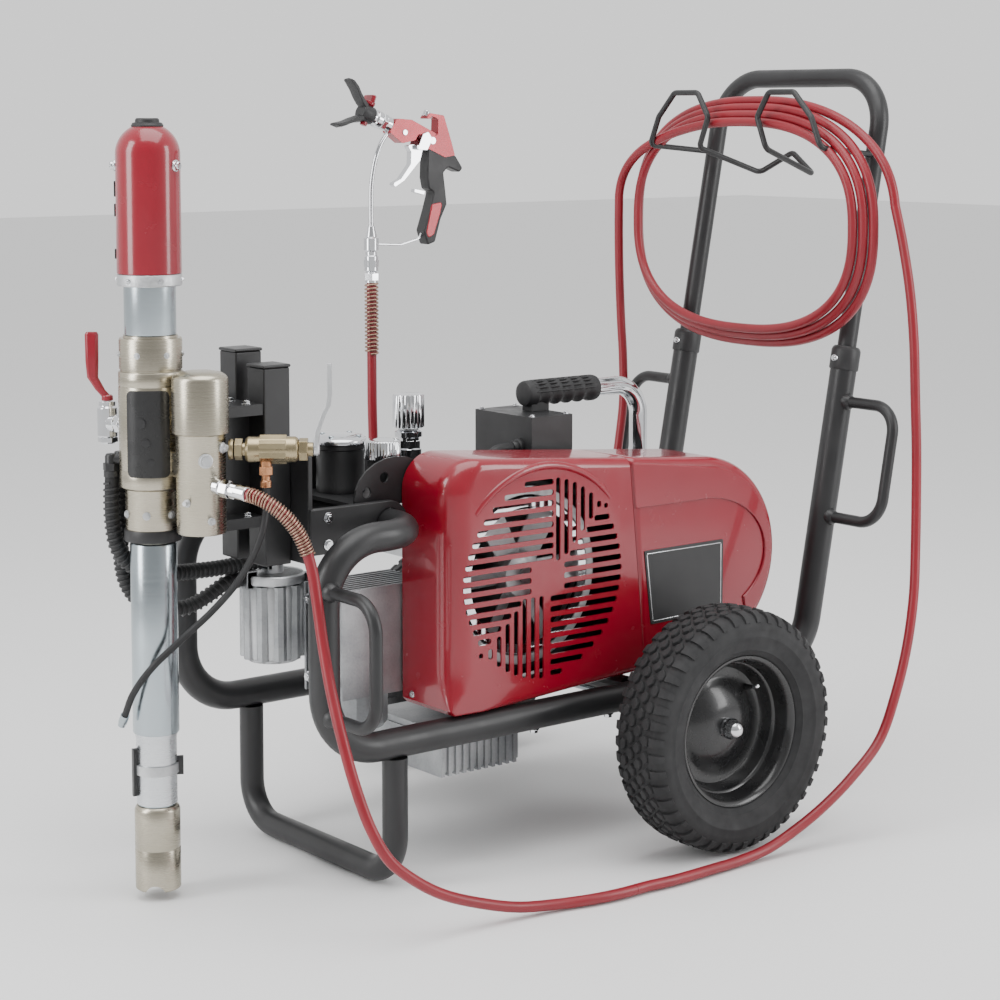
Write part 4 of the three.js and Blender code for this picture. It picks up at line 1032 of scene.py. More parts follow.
def wrapped_patch(bm, radius, depth, middle, half_angle, low, high, corner, axis=(PUMP_X, 0)):
    """A thin plate bent round an upright axis, with rounded corners."""
    rows = 12
    heights = [low + corner * (1 - math.cos(math.pi / 2 * k / rows)) for k in range(rows + 1)]
    heights += [high - (z - low) for z in reversed(heights)]
    grid = []
    for z in heights:
        inset = corner - min(z - low, high - z, corner)
        cut_back = math.degrees((corner - math.sqrt(max(0.0, corner ** 2 - inset ** 2))) / radius)
        reach = half_angle - cut_back
        outer = [bm.verts.new(around(middle - reach + 2 * reach * k / 16, radius + depth, z,
                                     axis)) for k in range(17)]
        inner = [bm.verts.new(around(middle - reach + 2 * reach * k / 16, radius - 1, z,
                                     axis)) for k in range(17)]
        grid.append(outer + inner[::-1])
    return loft(bm, grid)


turned_piece("motor_dome", [(0, 909), (44.8, 909), (46, 910.2), (46, 1000)] + dome(46, 1078, 39,
                                                                                   22) + [(0, 1117)],
             PUMP, "pump_unit", RED, slot="red_paint", nodes=("pump_head",), sides=112, smooth=40)
turned_piece("motor_cap", [(0, 1116), (22.6, 1116), (23, 1118.5), (21, 1122), (17.4, 1123), (16.8, 1127),
                           (15, 1128.8), (11, 1128.8), (10, 1127.4), (0, 1127.2)], PUMP, "pump_unit",
                           PLASTIC, sides=64)
bm = bmesh.new()
for angle in (146, 296, 46):
    foot = around(angle, 44, 1062)
    turn(bm, [(0, 0), (8.6, 0), (8.6, 3.4), (6.2, 4.6), (6.2, 8), (5, 9.6), (0, 9.8)], foot, heading(angle),
         32)
mesh_piece("dome_bolts", bm, "pump_unit", CHROME, bevel=0.3)
bm = bmesh.new()
for low, high in ((1018, 1040), (990, 1008), (930, 944)):
    wrapped_patch(bm, 46, 2.2, 140, 8, low, high, 2)
mesh_piece("dome_slots", bm, "pump_unit", PLASTIC)

turned_piece("drive_ring", [(36, 892), (45.2, 892), (46.4, 893.4), (46.4, 907), (45.4, 908.6), (36, 908.6),
                            (36, 892)],
             PUMP, "pump_unit", BRIGHT_CAST, sides=96)
turned_piece("drive_tube", [(0, 822.4), (36.6, 822.4), (37, 824), (37, 895), (0, 895)], PUMP, "pump_unit",
             STEEL,
             slot="steel", nodes=("drive_cylinder",), sides=112)
bm = bmesh.new()
for k in range(6):
    angle = 20 + 60 * k
    screw(bm, around(angle, 46, 900.5), heading(angle), 3, 1.6)
mesh_piece("drive_ring_screws", bm, "pump_unit", CHROME)

body_profile = [
    (0, 527.4), (35, 527.4), (38.6, 531), (39, 533), (39, 598), (40, 601), (45.6, 604), (46.5, 605.5),
    (46.5, 628),
    (45.9, 629), (45.9, 630.4), (46.5, 631.4), (46.5, 748), (45.9, 749), (45.9, 750.4), (46.5, 751.4),
    (46.5, 768.6),
    (45.4, 770.4), (43.6, 771), (43.6, 773.4), (45, 774), (45, 815), (44, 818), (39, 818.4), (38.6, 821.8),
    (0, 821.8),
]
pump_shell = bmesh.new()
turn(pump_shell, body_profile, PUMP, sides=112)
mesh_piece("pump_barrel", pump_shell, "pump_unit", NICKEL, "nickel", ("pump_body",), smooth=38)
bm = wrapped_patch(bmesh.new(), 46.5, 1.6, 233, 39, 622, 746, 9)
mesh_piece("barrel_window", bm, "pump_unit", GLOSS_BLACK, bevel=0.7)
bm = bmesh.new()
for k in range(3):
    turn(bm, [(0, 0), (7 - k, 0), (7 - k, 1.4), (0, 1.8)], around(222 + 8 * k, 48, 700 - 28 * k),
         heading(222 + 8 * k), 24)
mesh_piece("window_studs", bm, "pump_unit", BLACK)
bm = bmesh.new()
for angle in (160, 215, 270, 325, 20, 90):
    screw(bm, around(angle, 44.6, 795), heading(angle), 3.4, 1.4)
    screw(bm, around(angle + 12, 38.8, 566), heading(angle + 12), 4.4, 2.4)
mesh_piece("barrel_screws", bm, "pump_unit", BRIGHT_CAST)
bm = bmesh.new()
box(bm, (PUMP_X + 4, -66, 622), (PUMP_X + 34, -34, 658))
box(bm, (PUMP_X + 10, -64, 700), (PUMP_X + 28, -34, 716))
mesh_piece("filter_bridge", bm, "pump_unit", NICKEL, bevel=3, segments=3)

bm = bmesh.new()
for x, y in ((-679.4, 42.4), (-657.5, 56.4)):
    inner = Vector((PUMP_X + (x - PUMP_X) * 0.7, y * 0.7, 642))
    outer = Vector((x, y, 642))
    turn(bm, [(0, 0), (8, 0), (8, (outer - inner).length - 2), (0, (outer - inner).length)], inner,
         outer - inner, 32)
    turn(bm, [(0, 0), (11.4, 0), (11.4, 9), (9.4, 10), (9.4, 30), (7.6, 33.4), (0, 34.5)], (x, y, 616),
         sides=40)
    prism(bm, hexagon(12.6, 0.3), 9.5, 20, (x, y, 616))
mesh_piece("hose_elbows", bm, "pump_unit", BLACK, bevel=0.5)

FILTER_AT = (*FILTER, 0)
filter_profile = [
    (0, 543), (24, 543), (33.6, 545), (35, 547), (35, 684), (36, 686.4), (40, 688), (40, 762), (39.2, 766),
    (36.6, 769.6), (30, 773.4), (18, 775.6), (0, 776),
]
turned_piece("filter_bowl", filter_profile, FILTER_AT, "pump_unit", NICKEL, slot="nickel",
             nodes=("filter_housing",),
             sides=112, smooth=40)
bm = bmesh.new()
for angle, z, size in ((250, 652, 8.4), (-62, 668, 6.4), (205, 592, 4.6), (262, 566, 4.6)):
    radius = 34 if z < 686 else 39
    foot = around(angle, radius, z, FILTER)
    turn(bm, [(0, 0), (size * 1.25, 0), (size * 1.25, 2.6), (size, 3.4), (size, 5), (0, 5)], foot,
         heading(angle), 32)
    prism(bm, hexagon(size * 0.82), 4.5, 9, foot, heading(angle))
mesh_piece("filter_plugs", bm, "pump_unit", BRIGHT_CAST, bevel=0.4)

suction_profile = [
    (0, 137.4), (27.6, 137.4), (28, 139), (28, 240), (29.4, 243.4), (32.6, 244.4), (33.5, 246), (33.5, 520),
    (32, 523), (30, 526.6), (0, 526.6),
]
turned_piece("suction_sleeve", suction_profile, PUMP, "pump_unit", STEEL, slot="steel",
             nodes=("suction_tube",),
             sides=96)
turned_piece("suction_foot_tube", [(27.8, 140), (29.4, 140), (29.4, 238), (30.4, 240), (30.4, 243.6),
                                   (28, 243.6),
                                   (27.8, 140)], PUMP, "pump_unit", ALUMINIUM, sides=96)
turned_piece("pump_gland", [(38, 526), (41, 526.4), (41.6, 528), (41.6, 541), (40.6, 543), (38, 543),
                            (38, 526)], PUMP,
             "pump_unit", PLASTIC, sides=80)
strap = wrapped_patch(bmesh.new(), 29.6, 2.2, 250, 78, 184, 198, 1.5)
mesh_piece("drain_hose_strap", strap, "pump_unit", BRIGHT_CAST)
bm = wrapped_patch(bmesh.new(), 29.6, 6.5, 166, 9, 152, 222, 3)
wrapped_patch(bm, 29.6, 9, 336, 7, 178, 206, 3)
mesh_piece("strap_clip", bm, "pump_unit", PLASTIC, bevel=0.8)

foot_profile = [(0, 60), (24, 60), (24, 13), (31.6, 13), (33, 14.6), (33, 72), (32.4, 73), (32.4, 75),
                (33, 76),
                (33, 130), (31.4, 134), (29, 136.6), (0, 136.6)]
foot_valve = turned_piece("foot_valve_body", foot_profile, PUMP, "pump_unit", NICKEL, slot="nickel",
                          nodes=("foot_valve",), sides=96)
cutter = turn(bmesh.new(), [(0, -60), (15, -60), (15, 60), (0, 60)], (PUMP_X, 0, 8), (0.62, 0.784, 0), 48)
carve(foot_valve, cutter)

# Bleed valve: a brass block with nuts, a steel lever and a copper outlet.


def along_bleed(distance, z=BLEED_Z):
    place = BLEED_FROM + BLEED_DIR * distance
    return Vector((place.x, place.y, z))


bm = bmesh.new()
turn(bm, [(0, 0.3), (14, 0.3), (15, 2), (15, 7), (9.4, 9), (9.4, 25), (0, 25)], BLEED_FROM, BLEED_DIR, 48)
prism(bm, hexagon(15.5, 0.5), 9, 20, BLEED_FROM, BLEED_DIR)
turn(bm, [(0, 24), (15.4, 24), (18.4, 28), (18.4, 94), (16, 98), (13, 99), (13, 106), (0, 106)], BLEED_FROM,
     BLEED_DIR, 48)
prism(bm, hexagon(21, 0.5), 44, 82, BLEED_FROM, BLEED_DIR)
prism(bm, hexagon(16.4, 0.2), 99.5, 112, BLEED_FROM, BLEED_DIR)
turn(bm, [(0, 111), (10, 111), (10, 119.6), (0, 119.6)], BLEED_FROM, BLEED_DIR, 40)
mesh_piece("bleed_valve_body", bm, "pump_unit", BRASS, "brass", ("bleed_valve",), bevel=0.7)
bm = bmesh.new()
drop_at = along_bleed(52)
turn(bm, [(0, 610), (8, 610), (8, 618), (6.4, 620), (6.4, 626), (8.4, 628), (8.4, 648), (0, 648)],
     (drop_at.x, drop_at.y, 0), sides=40)
prism(bm, hexagon(10.6), 628, 640, (drop_at.x, drop_at.y, 0))
mesh_piece("bleed_outlet", bm, "pump_unit", COPPER, bevel=0.5)

bm = bmesh.new()
turn(bm, [(0, 120.4), (9, 120.4), (9, 126), (7.6, 128), (0, 128)], BLEED_FROM, BLEED_DIR, 40)
lever = [along_bleed(123.4, 668), along_bleed(126, 690), along_bleed(134, 712), along_bleed(141, 726),
         along_bleed(143, 740), along_bleed(143, 786)]
cross = Vector((-BLEED_DIR.y, BLEED_DIR.x, 0))
rings = []
for place, width in zip(lever, (9, 7.5, 6.4, 5.4, 5.6, 7.6)):
    rings.append([bm.verts.new(place + cross * a * width + BLEED_DIR * b * 3.2)
                  for a, b in ((-1, -1), (1, -1), (1, 1), (-1, 1))])
loft(bm, rings)
mesh_piece("bleed_lever_blade", bm, "bleed_handle", BRIGHT_CAST, "steel", ("bleed_lever",), bevel=0.6)

# Shut-off valve, its long red handle, and the outlet that the hose is screwed to.
shut_at = (PUMP_X - 30, 74, 0)
bm = bmesh.new()
stub_from = Vector((PUMP_X - 18, 36, 690))
stub = Vector((shut_at[0], shut_at[1], 690)) - stub_from
turn(bm, [(0, 0), (11, 0), (11, 18), (13.4, 20), (13.4, stub.length - 8), (0, stub.length - 8)], stub_from,
     stub, 40)
prism(bm, hexagon(13.6), 10, 21, stub_from, stub)
turn(bm, [(0, 660), (10.4, 660), (12, 662), (12, 668), (15, 671), (15, 712), (12.4, 715), (12.4, 721.6),
          (0, 721.6)],
     shut_at, sides=48)
prism(bm, hexagon(14.6, 0.4), 662, 669, shut_at)
mesh_piece("shutoff_valve_body", bm, "pump_unit", CHROME, "steel", ("shutoff_valve",), bevel=0.6)
bm = bmesh.new()
turn(bm, [(0, 722.4), (8.4, 722.4), (8.4, 729), (6, 731), (0, 731)], shut_at, sides=40)
shut_lever = [Vector((shut_at[0], shut_at[1], 727)), Vector((shut_at[0] - 8, 80, 738)),
              Vector((shut_at[0] - 16.1, 87, 756)), Vector((shut_at[0] - 16.1, 88, 780)),
              Vector((shut_at[0] - 16.1, 88, 818)), Vector((shut_at[0] - 16.1, 88, 822))]
rings = []
for place, wide, thin in zip(shut_lever, (7, 7, 8, 9.4, 9.8, 7.6), (3, 3, 4.4, 5.2, 5.2, 3.6)):
    rings.append([bm.verts.new(place + Vector((0.784, -0.62, 0)) * a * wide + Vector((0.62, 0.784,
                                                                                      0)) * b * thin)
                  for a, b in ((-1, -0.5), (-0.6, -1), (0.6, -1), (1, -0.5), (1, 0.5), (0.6, 1), (-0.6, 1),
                               (-1, 0.5))])
loft(bm, rings)
mesh_piece("shutoff_handle", bm, "shutoff_handle", RED, "red_paint", ("shutoff_lever",), bevel=0.8)

outlet_from, outlet_to = Vector((-603, -124.5, 614)), Vector((-584, -170, 607.5))
outlet_dir = outlet_to - outlet_from
reach = outlet_dir.length
bm = bmesh.new()
turn(bm, [(0, -6), (11, -6), (11, 3), (9.4, 5), (9.4, 8), (0, 8)], outlet_from, outlet_dir, 40)
prism(bm, hexagon(13, 0.3), 6, 19, outlet_from, outlet_dir)
turn(bm, [(0, 18), (8.6, 18), (8.6, 22), (10.8, 23), (10.8, reach - 2), (9.6, reach - 0.4),
          (0, reach - 0.4)],
     outlet_from, outlet_dir, 40)
prism(bm, hexagon(12, 0.0), 23, 32, outlet_from, outlet_dir)
mesh_piece("outlet_fitting", bm, "pump_unit", CHROME, "steel", ("paint_outlet",), bevel=0.6)

# Columns, arms and brackets of the tilting frame.
bm = bmesh.new()
for sign, top in ((-1, 772), (1, 790)):
    y = sign * COLUMN_Y
    box(bm, (-485.5, y - 22.5, 476), (-440.5, y + 22.5, top - 5))
    box(bm, (-485.5 - 1.5, y - 24, top - 5), (-440.5 + 1.5, y + 24, top))
mesh_piece("yoke_columns", bm, "pump_unit", BLACK, bevel=2.4, segments=3)
bm = bmesh.new()
for sign in (-1, 1):
    outline = [(-440, 494)] + [(PIVOT[0] + 34 * math.sin(math.pi * k / 24),
                                PIVOT[1] - 34 * math.cos(math.pi * k / 24))
                               for k in range(25)] + [(-440, 562)]
    slab(bm, outline, sign * YOKE_ARM_Y - 6, sign * YOKE_ARM_Y + 6)
box(bm, (YOKE_FACE_X - 8, -YOKE_ARM_Y, 480), (YOKE_FACE_X, YOKE_ARM_Y, 640))
yoke = mesh_piece("yoke_arms", bm, "pump_unit", BLACK, "black_paint", ("tilt_yoke",))
cutter = turn(bmesh.new(), [(0, -200), (22.6, -200), (22.6, 200), (0, 200)], (PIVOT[0], 0, PIVOT[1]),
              (0, 1, 0), 64)
carve(yoke, cutter)
add_bevel(yoke, 1.6, 3)
bm = bmesh.new()
for sign in (-1, 1):
    for y, z in ((sign * 84, 612), (sign * 84, 512), (sign * 62, 612)):
        screw(bm, (YOKE_FACE_X, y, z), (1, 0, 0), 6.5, 4.5)
    for z in (508, 548):
        screw(bm, (-410, sign * 112, z), (0, sign, 0), 6, 4)
mesh_piece("yoke_bolts", bm, "pump_unit", CHROME, bevel=0.3)
dress("pump_bracket", BLACK, 1.6, 3)
bm = bmesh.new()
for z in (552, 716):
    for y in (-44, 0, 46):
        screw(bm, (-505, y, z), (0, 0, 1), 5.5, 4)
mesh_piece("bracket_bolts", bm, "pump_unit", CHROME, bevel=0.3)

# ---------------------------------------------------------------- power unit
dress("base_plate", BLACK, 1.4, 3)
dress("control_box", PLASTIC, 2.6, 3)
dress("motor", CAST, 1.0)
bm = bmesh.new()
for k in range(26):
    angle = 2 * math.pi * k / 26
    if abs(math.cos(angle) * 95) > 12 and math.sin(angle) > -0.85:
        fin = Matrix.Translation((MOTOR[0], 0, MOTOR[1])) @ Matrix.Rotation(angle, 4, "Y")
        corners = [(93, -2, -60), (103, -1.2, -60), (103, 1.2, -60), (93, 2, -60)]
        rings = [[bm.verts.new(fin @ Vector((x, y, z))) for x, z, _ in corners] for y in (-68, 150)]
        loft(bm, rings)
mesh_piece("motor_fins", bm, "chassis", CAST, bevel=0.5)
turned_piece("motor_fan_cover", [(0, 165), (60, 165.4), (88, 163), (97, 156), (99, 148), (99, 118),
                                 (97, 116), (94, 116)],
             (MOTOR[0], 0, MOTOR[1]), "chassis", PLASTIC, axis=(0, 1, 0), sides=96)
bm = bmesh.new()
for x, y in ((22, -52), (92, -52), (22, 78), (92, 78)):
    screw(bm, (x, y, 655), (0, 0, 1), 4, 2)
mesh_piece("control_box_screws", bm, "chassis", CHROME, bevel=0.3)
turned_piece("box_gland", [(0, 0), (13, 0), (13, 5), (10.4, 7), (10.4, 14), (9, 17), (0, 17)],
             (15, -30, 606), "chassis",
             PLASTIC, axis=(-1, 0, 0), sides=40)
tube("box_conduit", bent([(10, -30, 606), (-46, -30, 606), (-58, -30, 540)], 26, 12), 7.7, "chassis", RUBBER)

lift_corners = [(302, 10, MOTOR[1] + 90), LIFT_BAR, (198, 10, 684)]
tube("lift_tube", bent(lift_corners, 52, 18), 15, "chassis", CHROME, ("lift_bar",), sides=14)
turned_piece("lift_tube_socket", [(14, 0), (21, 0), (22, 2), (22, 13), (20, 16), (14.6, 17), (14, 0)],
             (302, 10, 519),
             "chassis", BLACK, sides=64)
grip_profile = [(0, 52), (15, 52), (19.4, 54), (21, 58), (21, 70)]
for k in range(5):
    base = 72 + 24 * k
    grip_profile += [(21.4, base), (19.2, base + 4), (18.6, base + 9), (19.2, base + 15), (21.4, base + 20)]
grip_profile += [(21.4, 198), (20, 203), (16, 204.6), (0, 204.6)]
grip_shape = bmesh.new()
turn(grip_shape, grip_profile, (0, 10, 684), (1, 0, 0), 64)
for k in range(9):
    angle = math.radians(-80 + 20 * k)
    place = Vector((0, 10 - 20.4 * math.sin(angle) * 0.99, 684 + 20.4 * math.cos(angle) * 0.99))
    turn(grip_shape, [(0, 66), (1.6, 67), (1.6, 194), (0, 195)], place, (1, 0, 0), 10)
box(grip_shape, (62, -2, 655.4), (98, 22, 680))
mesh_piece("lift_grip_sleeve", grip_shape, "chassis", RUBBER, "black_rubber", ("lift_grip",), smooth=40)

turned_piece("tank_drum", [(0, 557), (38, 557), (38, 566), (37.4, 567), (37.4, 622), (39, 624), (39, 630.6),
                           (0, 630.6)],
             (*OIL_TANK, 0), "chassis", PLASTIC, slot="black_plastic", nodes=("oil_tank",), sides=96)
turned_piece("filler_neck", [(0, 557), (20, 557), (20, 600), (23, 602), (23, 611.6), (0, 611.6)],
             (*FILLER, 0), "chassis",
             PLASTIC, sides=64)
turned_piece("tank_cover", [(0, 631.3), (40, 631.3), (41.6, 632.4), (41.8, 636), (40, 639), (36.5, 640.4),
                            (34, 643),
                            (20, 645), (0, 645.2)], (*OIL_TANK, 0), "chassis", CHROME, slot="chrome",
                            nodes=("tank_lid",),
             sides=112, smooth=45)
bm = bmesh.new()
for k in range(4):
    turn(bm, [(0, 641), (4.4, 641), (4.4, 644.6), (3.4, 645.4), (0, 645.4)],
         (-285 + 31 * math.cos(0.5 + k * math.pi / 2), 38 + 31 * math.sin(0.5 + k * math.pi / 2), 0),
         sides=28)
mesh_piece("tank_cover_screws", bm, "chassis", STEEL)


def knurled(name, axis_at, radius, low, high, body, node, teeth=36, depth=1.3):
    """A round knob with flutes down its side."""
    bm = bmesh.new()
    sides = teeth * 4
    profile = [(radius * 0.9, low, 0), (radius, low + 1.6, 1), (radius, high - 3, 1),
               (radius * 0.93, high - 0.8, 0),
               (radius * 0.8, high, 0), (radius * 0.55, high - 0.9, 0)]
    rings = []
    for r, z, fluted in profile:
        ring = []
        for k in range(sides):
            angle = 2 * math.pi * k / sides
            rr = r - fluted * depth * (0.5 - 0.5 * math.cos(teeth * angle))
            ring.append(bm.verts.new((axis_at[0] + rr * math.cos(angle), axis_at[1] + rr * math.sin(angle),
                                      z)))
        rings.append(ring)
    loft(bm, rings)
    return mesh_piece(name, bm, body, CHROME, "chrome", (node,), smooth=45)


knurled("filler_cap_knob", FILLER, 28, 613, 643, "filler_cap_turn", "filler_cap")
knurled("pressure_knob_top", KNOB, 25.4, 638, 692, "pressure_control", "pressure_knob", 24, 1.6)
dress("hydraulic_pump", BRIGHT_CAST, 1.2)
turned_piece("pressure_neck", [(17.4, 560), (17.4, 588), (21, 590), (21, 604), (17.4, 606), (17.4, 622),
                               (22, 624),
                               (22, 632), (16, 635), (10, 636), (17.4, 560)], (*KNOB, 0), "chassis",
                               CHROME, sides=72)
bm = bmesh.new()
prism(bm, hexagon(20), 604, 618, (*KNOB, 0))
for x, y in ((-146, -20), (-60, -20), (-60, 30)):
    turn(bm, [(0, 555), (9, 555), (9, 560), (0, 560)], (x, y, 0), sides=32)
    prism(bm, hexagon(8), 559.5, 569, (x, y, 0))
mesh_piece("pump_plugs", bm, "chassis", CHROME, bevel=0.5)

dress("engine_block", CAST, 1.0)
dress("cooler", CAST, 0.9)
dress("tilt_cradle", BLACK, 1.0)


def fluted_filter():
    bm = bmesh.new()
    sides = 120
    profile = [(38, 300, 0), (42, 303, 0.6), (45, 309, 1), (47.5, 414, 1), (45, 420, 0.6), (48.5, 422, 0),
               (49.6, 424, 0), (49.6, 434, 0), (48, 436, 0)]
    rings = []
    for radius, z, fluted in profile:
        ring = []
        for k in range(sides):
            angle = 2 * math.pi * k / sides
            lobe = abs(math.sin(5 * angle)) ** 0.7
            r = radius - 5 * fluted * (1 - lobe)
            ring.append(bm.verts.new((OIL_FILTER[0] + r * math.cos(angle),
                                      OIL_FILTER[1] + r * math.sin(angle), z)))
        rings.append(ring)
    loft(bm, rings)
    turn(bm, [(0, 430), (17, 430), (17, 452), (14, 456), (14, 466), (12, 470), (0, 470)], (*OIL_FILTER, 0),
         sides=48)
    prism(bm, hexagon(17, 0.4), 440, 451, (*OIL_FILTER, 0))
    return bm


mesh_piece("filter_canister", fluted_filter(), "chassis", BRIGHT_CAST, smooth=30)
bm = bmesh.new()
box(bm, (-345, 20, 412), (-338, 96, 434))
box(bm, (-440, 64, 416), (-420, 92, 444))
box(bm, (-402, 64, 441), (-380, 92, 469))
mesh_piece("filter_ports", bm, "chassis", CAST, "cast_alloy", (), bevel=2)
dress("oil_filter", CAST, 0.8)
bm = bmesh.new()
for y in (-66, -18, 6):
    for z in (284, 404):
        screw(bm, (-368.4, y - 3, z), (-1, 0, 0), 6.4, 5)
mesh_piece("engine_bolts", bm, "chassis", CHROME, bevel=0.3)
turned_piece("engine_drain", [(0, 0), (9, 0), (9, 3), (7, 4), (7, 12), (0, 12)], (-300, -30, 206),
             "chassis", CHROME,
             axis=(0, 0, -1), sides=32)

# ---------------------------------------------------------------- spray gun
def gun_point(u, w, y=0.0):
    return Vector((GUN[0] + u, GUN[1] + y, GUN[2] + w))


def gun_slab(bm, outline, low, high, radius=4.0, steps=5):
    ring = rounded(outline, radius, steps) if radius else outline
    return slab(bm, [(GUN[0] + u, GUN[2] + w) for u, w in ring], GUN[1] + low, GUN[1] + high)


BARREL_RISE = math.radians(21.4)
BARREL = Vector((-math.cos(BARREL_RISE), 0, math.sin(BARREL_RISE)))
BARREL_UP = Vector((math.sin(BARREL_RISE), 0, math.cos(BARREL_RISE)))
BARREL_FROM = gun_point(31, 175)

bm = bmesh.new()
gun_slab(bm, [(46, 183), (31, 161), (57, 142), (84, 147), (91, 158), (109, 148), (131, 156), (109, 166),
              (76, 181)],
         -11, 11, 4)
gun_slab(bm, [(131, 156), (132, 182), (119, 187), (113, 182), (108, 183), (115, 192), (144, 188),
              (160, 143), (167, 121),
              (150, 104), (138, 108), (109, 133), (109, 150)], -10, 10, 3.4)
mesh_piece("gun_housing", bm, "gun", RED_METALLIC, "red_paint", ("gun_body",), bevel=2.6, segments=3)
bm = bmesh.new()
gun_slab(bm, [(109, 134), (107, 84), (111, 66), (121, 60), (112, 30), (100, -4), (108, -29), (124, -24),
              (136, 14),
              (149, 39), (146, 64), (142, 92), (152, 101), (176, 92), (183, 99), (167, 121), (146, 118)],
              -12, 12, 5)
mesh_piece("gun_grip", bm, "gun", PLASTIC, bevel=4.5, segments=4)
bm = bmesh.new()
gun_slab(bm, [(116, 40), (140, 44), (134, 22), (121, -12), (108, -18), (104, -6)], -12.8, 12.8, 6)
mesh_piece("gun_grip_pad", bm, "gun", RED_METALLIC, bevel=2.0, segments=3)
bm = bmesh.new()
gun_slab(bm, [(86, 66), (108, 62), (106, 55), (85, 60)], -5, 5, 1.5)
turn(bm, [(0, -14), (6.5, -14), (6.5, 14), (0, 14)], gun_point(118, 146), (0, 1, 0), 32)
turn(bm, [(0, -12.6), (5, -12.6), (5, 12.6), (0, 12.6)], gun_point(62, 160), (0, 1, 0), 32)
turn(bm, [(0, 0), (6, 0), (6, 9), (4.6, 11), (0, 11)], gun_point(112, 186), (0.45, 0, 0.9), 32)
mesh_piece("gun_hardware", bm, "gun", CHROME, bevel=0.8)

bm = bmesh.new()
turn(bm, [(0, -8), (11.4, -8), (13, -6), (13, 4), (11, 7), (11, 14), (14.6, 15), (14.6, 24), (12, 26),
          (12, 31), (0, 31)],
     BARREL_FROM, BARREL, 56)
prism(bm, hexagon(14.4), 3, 12, BARREL_FROM, BARREL)
mesh_piece("gun_barrel", bm, "gun", CHROME, bevel=0.7)
bm = bmesh.new()
turn(bm, [(0, 31), (14, 31), (15, 33), (15, 50), (13, 56), (0, 56)], BARREL_FROM, BARREL, 56)
mesh_piece("tip_collar", bm, "gun", PLASTIC, bevel=0.6)


def wing(sign):
    """One of the tip guard's two flared wings."""
    path = [(50, 10), (60, 15), (70, 22), (80, 31), (90, 37), (97, 39)]
    rings = []
    for k, (along, up) in enumerate(path):
        centre = BARREL_FROM + BARREL * along + BARREL_UP * up * sign
        half_width = 11 + 2 * math.sin(math.pi * k / 5)
        thickness = (7.5, 7, 6, 6, 5.5, 3)[k]
        rings.append([bm.verts.new(centre + Vector((0, 1,
                                                    0)) * half_width * a + BARREL_UP * sign * thickness * b)
                      for a, b in ((-1, -0.6), (0, -1), (1, -0.6), (1, 0.5), (0, 1), (-1, 0.5))])
    loft(bm, rings)


bm = bmesh.new()
wing(1)
wing(-1)
mesh_piece("tip_wings", bm, "gun", PLASTIC, "black_plastic", ("tip_guard",), smooth=50, bevel=1.2,
           segments=3)
key_from = BARREL_FROM + BARREL * 42
bm = bmesh.new()
turn(bm, [(0, -20), (6, -20), (6, 14), (9, 16), (9, 22), (0, 22)], key_from, BARREL_UP, 40)
prism(bm, [(-8, -4), (8, -4), (19, -3), (21, 0), (19, 3), (8, 4), (-8, 4), (-11, 0)], 20, 33, key_from,
      BARREL_UP)
mesh_piece("tip_key_handle", bm, "tip", RED, "red_paint", ("tip_key",), bevel=1.6, segments=3)

bm = bmesh.new()
gun_slab(bm, [(70, 139), (84, 140), (104, 138), (97, 113), (64, 80), (44, 69), (41, 76), (57, 83),
              (77, 107), (78, 128)],
         -6.4, 6.4, 4)
gun_slab(bm, [(85, 131), (106, 130), (117, 149), (108, 161), (97, 157)], -14.4, -12.9, 3)
gun_slab(bm, [(85, 131), (106, 130), (117, 149), (108, 161), (97, 157)], 12.9, 14.4, 3)
gun_slab(bm, [(85, 131.4), (103, 131.4), (103, 139), (85, 139)], -14, 14, 2)
mesh_piece("trigger_lever", bm, "trigger", CHROME, "chrome", ("gun_trigger",), bevel=1.1, segments=3)

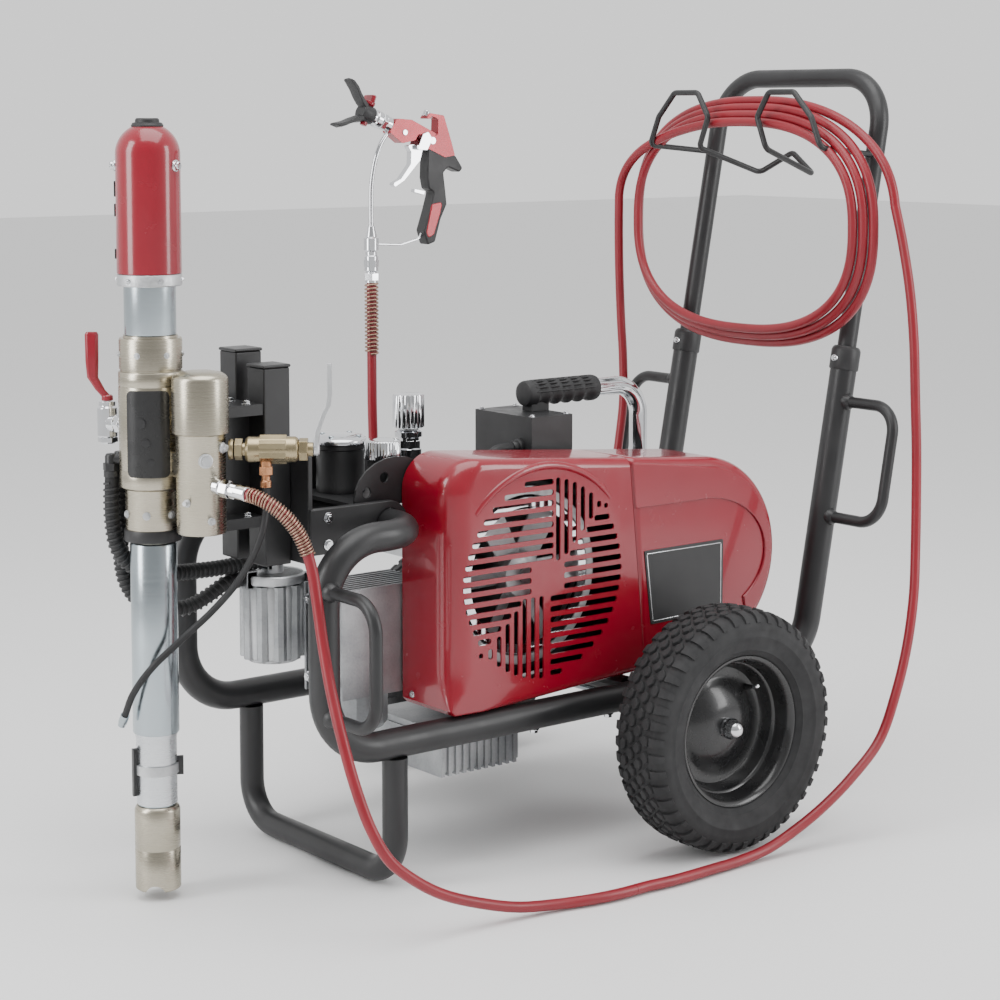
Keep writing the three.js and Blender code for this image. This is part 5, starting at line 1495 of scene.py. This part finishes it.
tube("gun_feed_tube", smooth_route([gun_point(0, -2), gun_point(0, 40), gun_point(1, 74), gun_point(9, 115),
                                    gun_point(22, 144), gun_point(38, 163)], 4.0), 4, "gun", CHROME)
tube("gun_guard_wire", bent([gun_point(4, -24), gun_point(60, -27), gun_point(98, -18), gun_point(104, -8)],
                            10, 8), 2.2,
     "gun", CHROME)
bm = bmesh.new()
turn(bm, [(0, -88), (10.8, -88), (10.8, -84), (9.4, -82), (9.4, -70), (11.6, -68), (11.6, -44), (9.8, -42),
          (9.8, -36),
          (12.4, -34), (12.4, -14), (10, -12), (8.6, -6), (7, 0), (6, 6), (0, 6)], gun_point(0, 0),
          (0, 0, 1), 56)
prism(bm, hexagon(13), -84, -72, gun_point(0, 0))
prism(bm, hexagon(12.6, 0.5), -62, -50, gun_point(0, 0))
mesh_piece("gun_swivel", bm, "gun", CHROME, bevel=0.6)

# ---------------------------------------------------------------- floor and light
floor = bpy.data.materials.new("pale_floor")
floor.use_nodes = True
floor.node_tree.nodes["Principled BSDF"].inputs["Base Color"].default_value = (0.86, 0.86, 0.86, 1)
floor.node_tree.nodes["Principled BSDF"].inputs["Roughness"].default_value = 0.62
bpy.ops.mesh.primitive_plane_add(size=40, location=(0, 0, -0.0015))
ground = bpy.context.object
ground.name = "floor"
ground.data.materials.append(floor)

world = bpy.data.worlds.new("studio")
bpy.context.scene.world = world
world.use_nodes = True
sky = world.node_tree
sky_place = sky.nodes.new("ShaderNodeTexCoord")
sky_facing = sky.nodes.new("ShaderNodeVectorMath")
sky_facing.operation = "DOT_PRODUCT"
sky_facing.inputs[1].default_value = (FORWARD.x, FORWARD.y, 0.35)
sky.nodes["Background"].inputs["Color"].default_value = (1.0, 1.0, 1.0, 1)
sky_level = sky.nodes.new("ShaderNodeMapRange")
for socket, value in (("From Min", -0.8), ("From Max", 0.3), ("To Min", 0.5), ("To Max", 1.15)):
    sky_level.inputs[socket].default_value = value
sky.links.new(sky_place.outputs["Generated"], sky_facing.inputs[0])
sky.links.new(sky_facing.outputs["Value"], sky_level.inputs["Value"])
sky.links.new(sky_level.outputs["Result"], sky.nodes["Background"].inputs["Strength"])


def soft_light(name, place, target, width, height, watts):
    data = bpy.data.lights.new(name, "AREA")
    data.shape = "RECTANGLE"
    data.size = width
    data.size_y = height
    data.energy = watts
    lamp = bpy.data.objects.new(name, data)
    lamp.location = place
    lamp.rotation_euler = (Vector(target) - Vector(place)).to_track_quat("-Z", "Y").to_euler()
    bpy.context.scene.collection.objects.link(lamp)


soft_light("overhead", (-0.4, -0.6, 3.4), (0, 0, 0.4), 2.6, 2.6, 80)
soft_light("left_side", (-3.0, 0.4, 1.7), (-0.2, 0, 0.6), 0.9, 2.4, 60)
soft_light("right_side", (1.9, -2.7, 1.6), (0.2, 0, 0.5), 0.9, 2.2, 48)
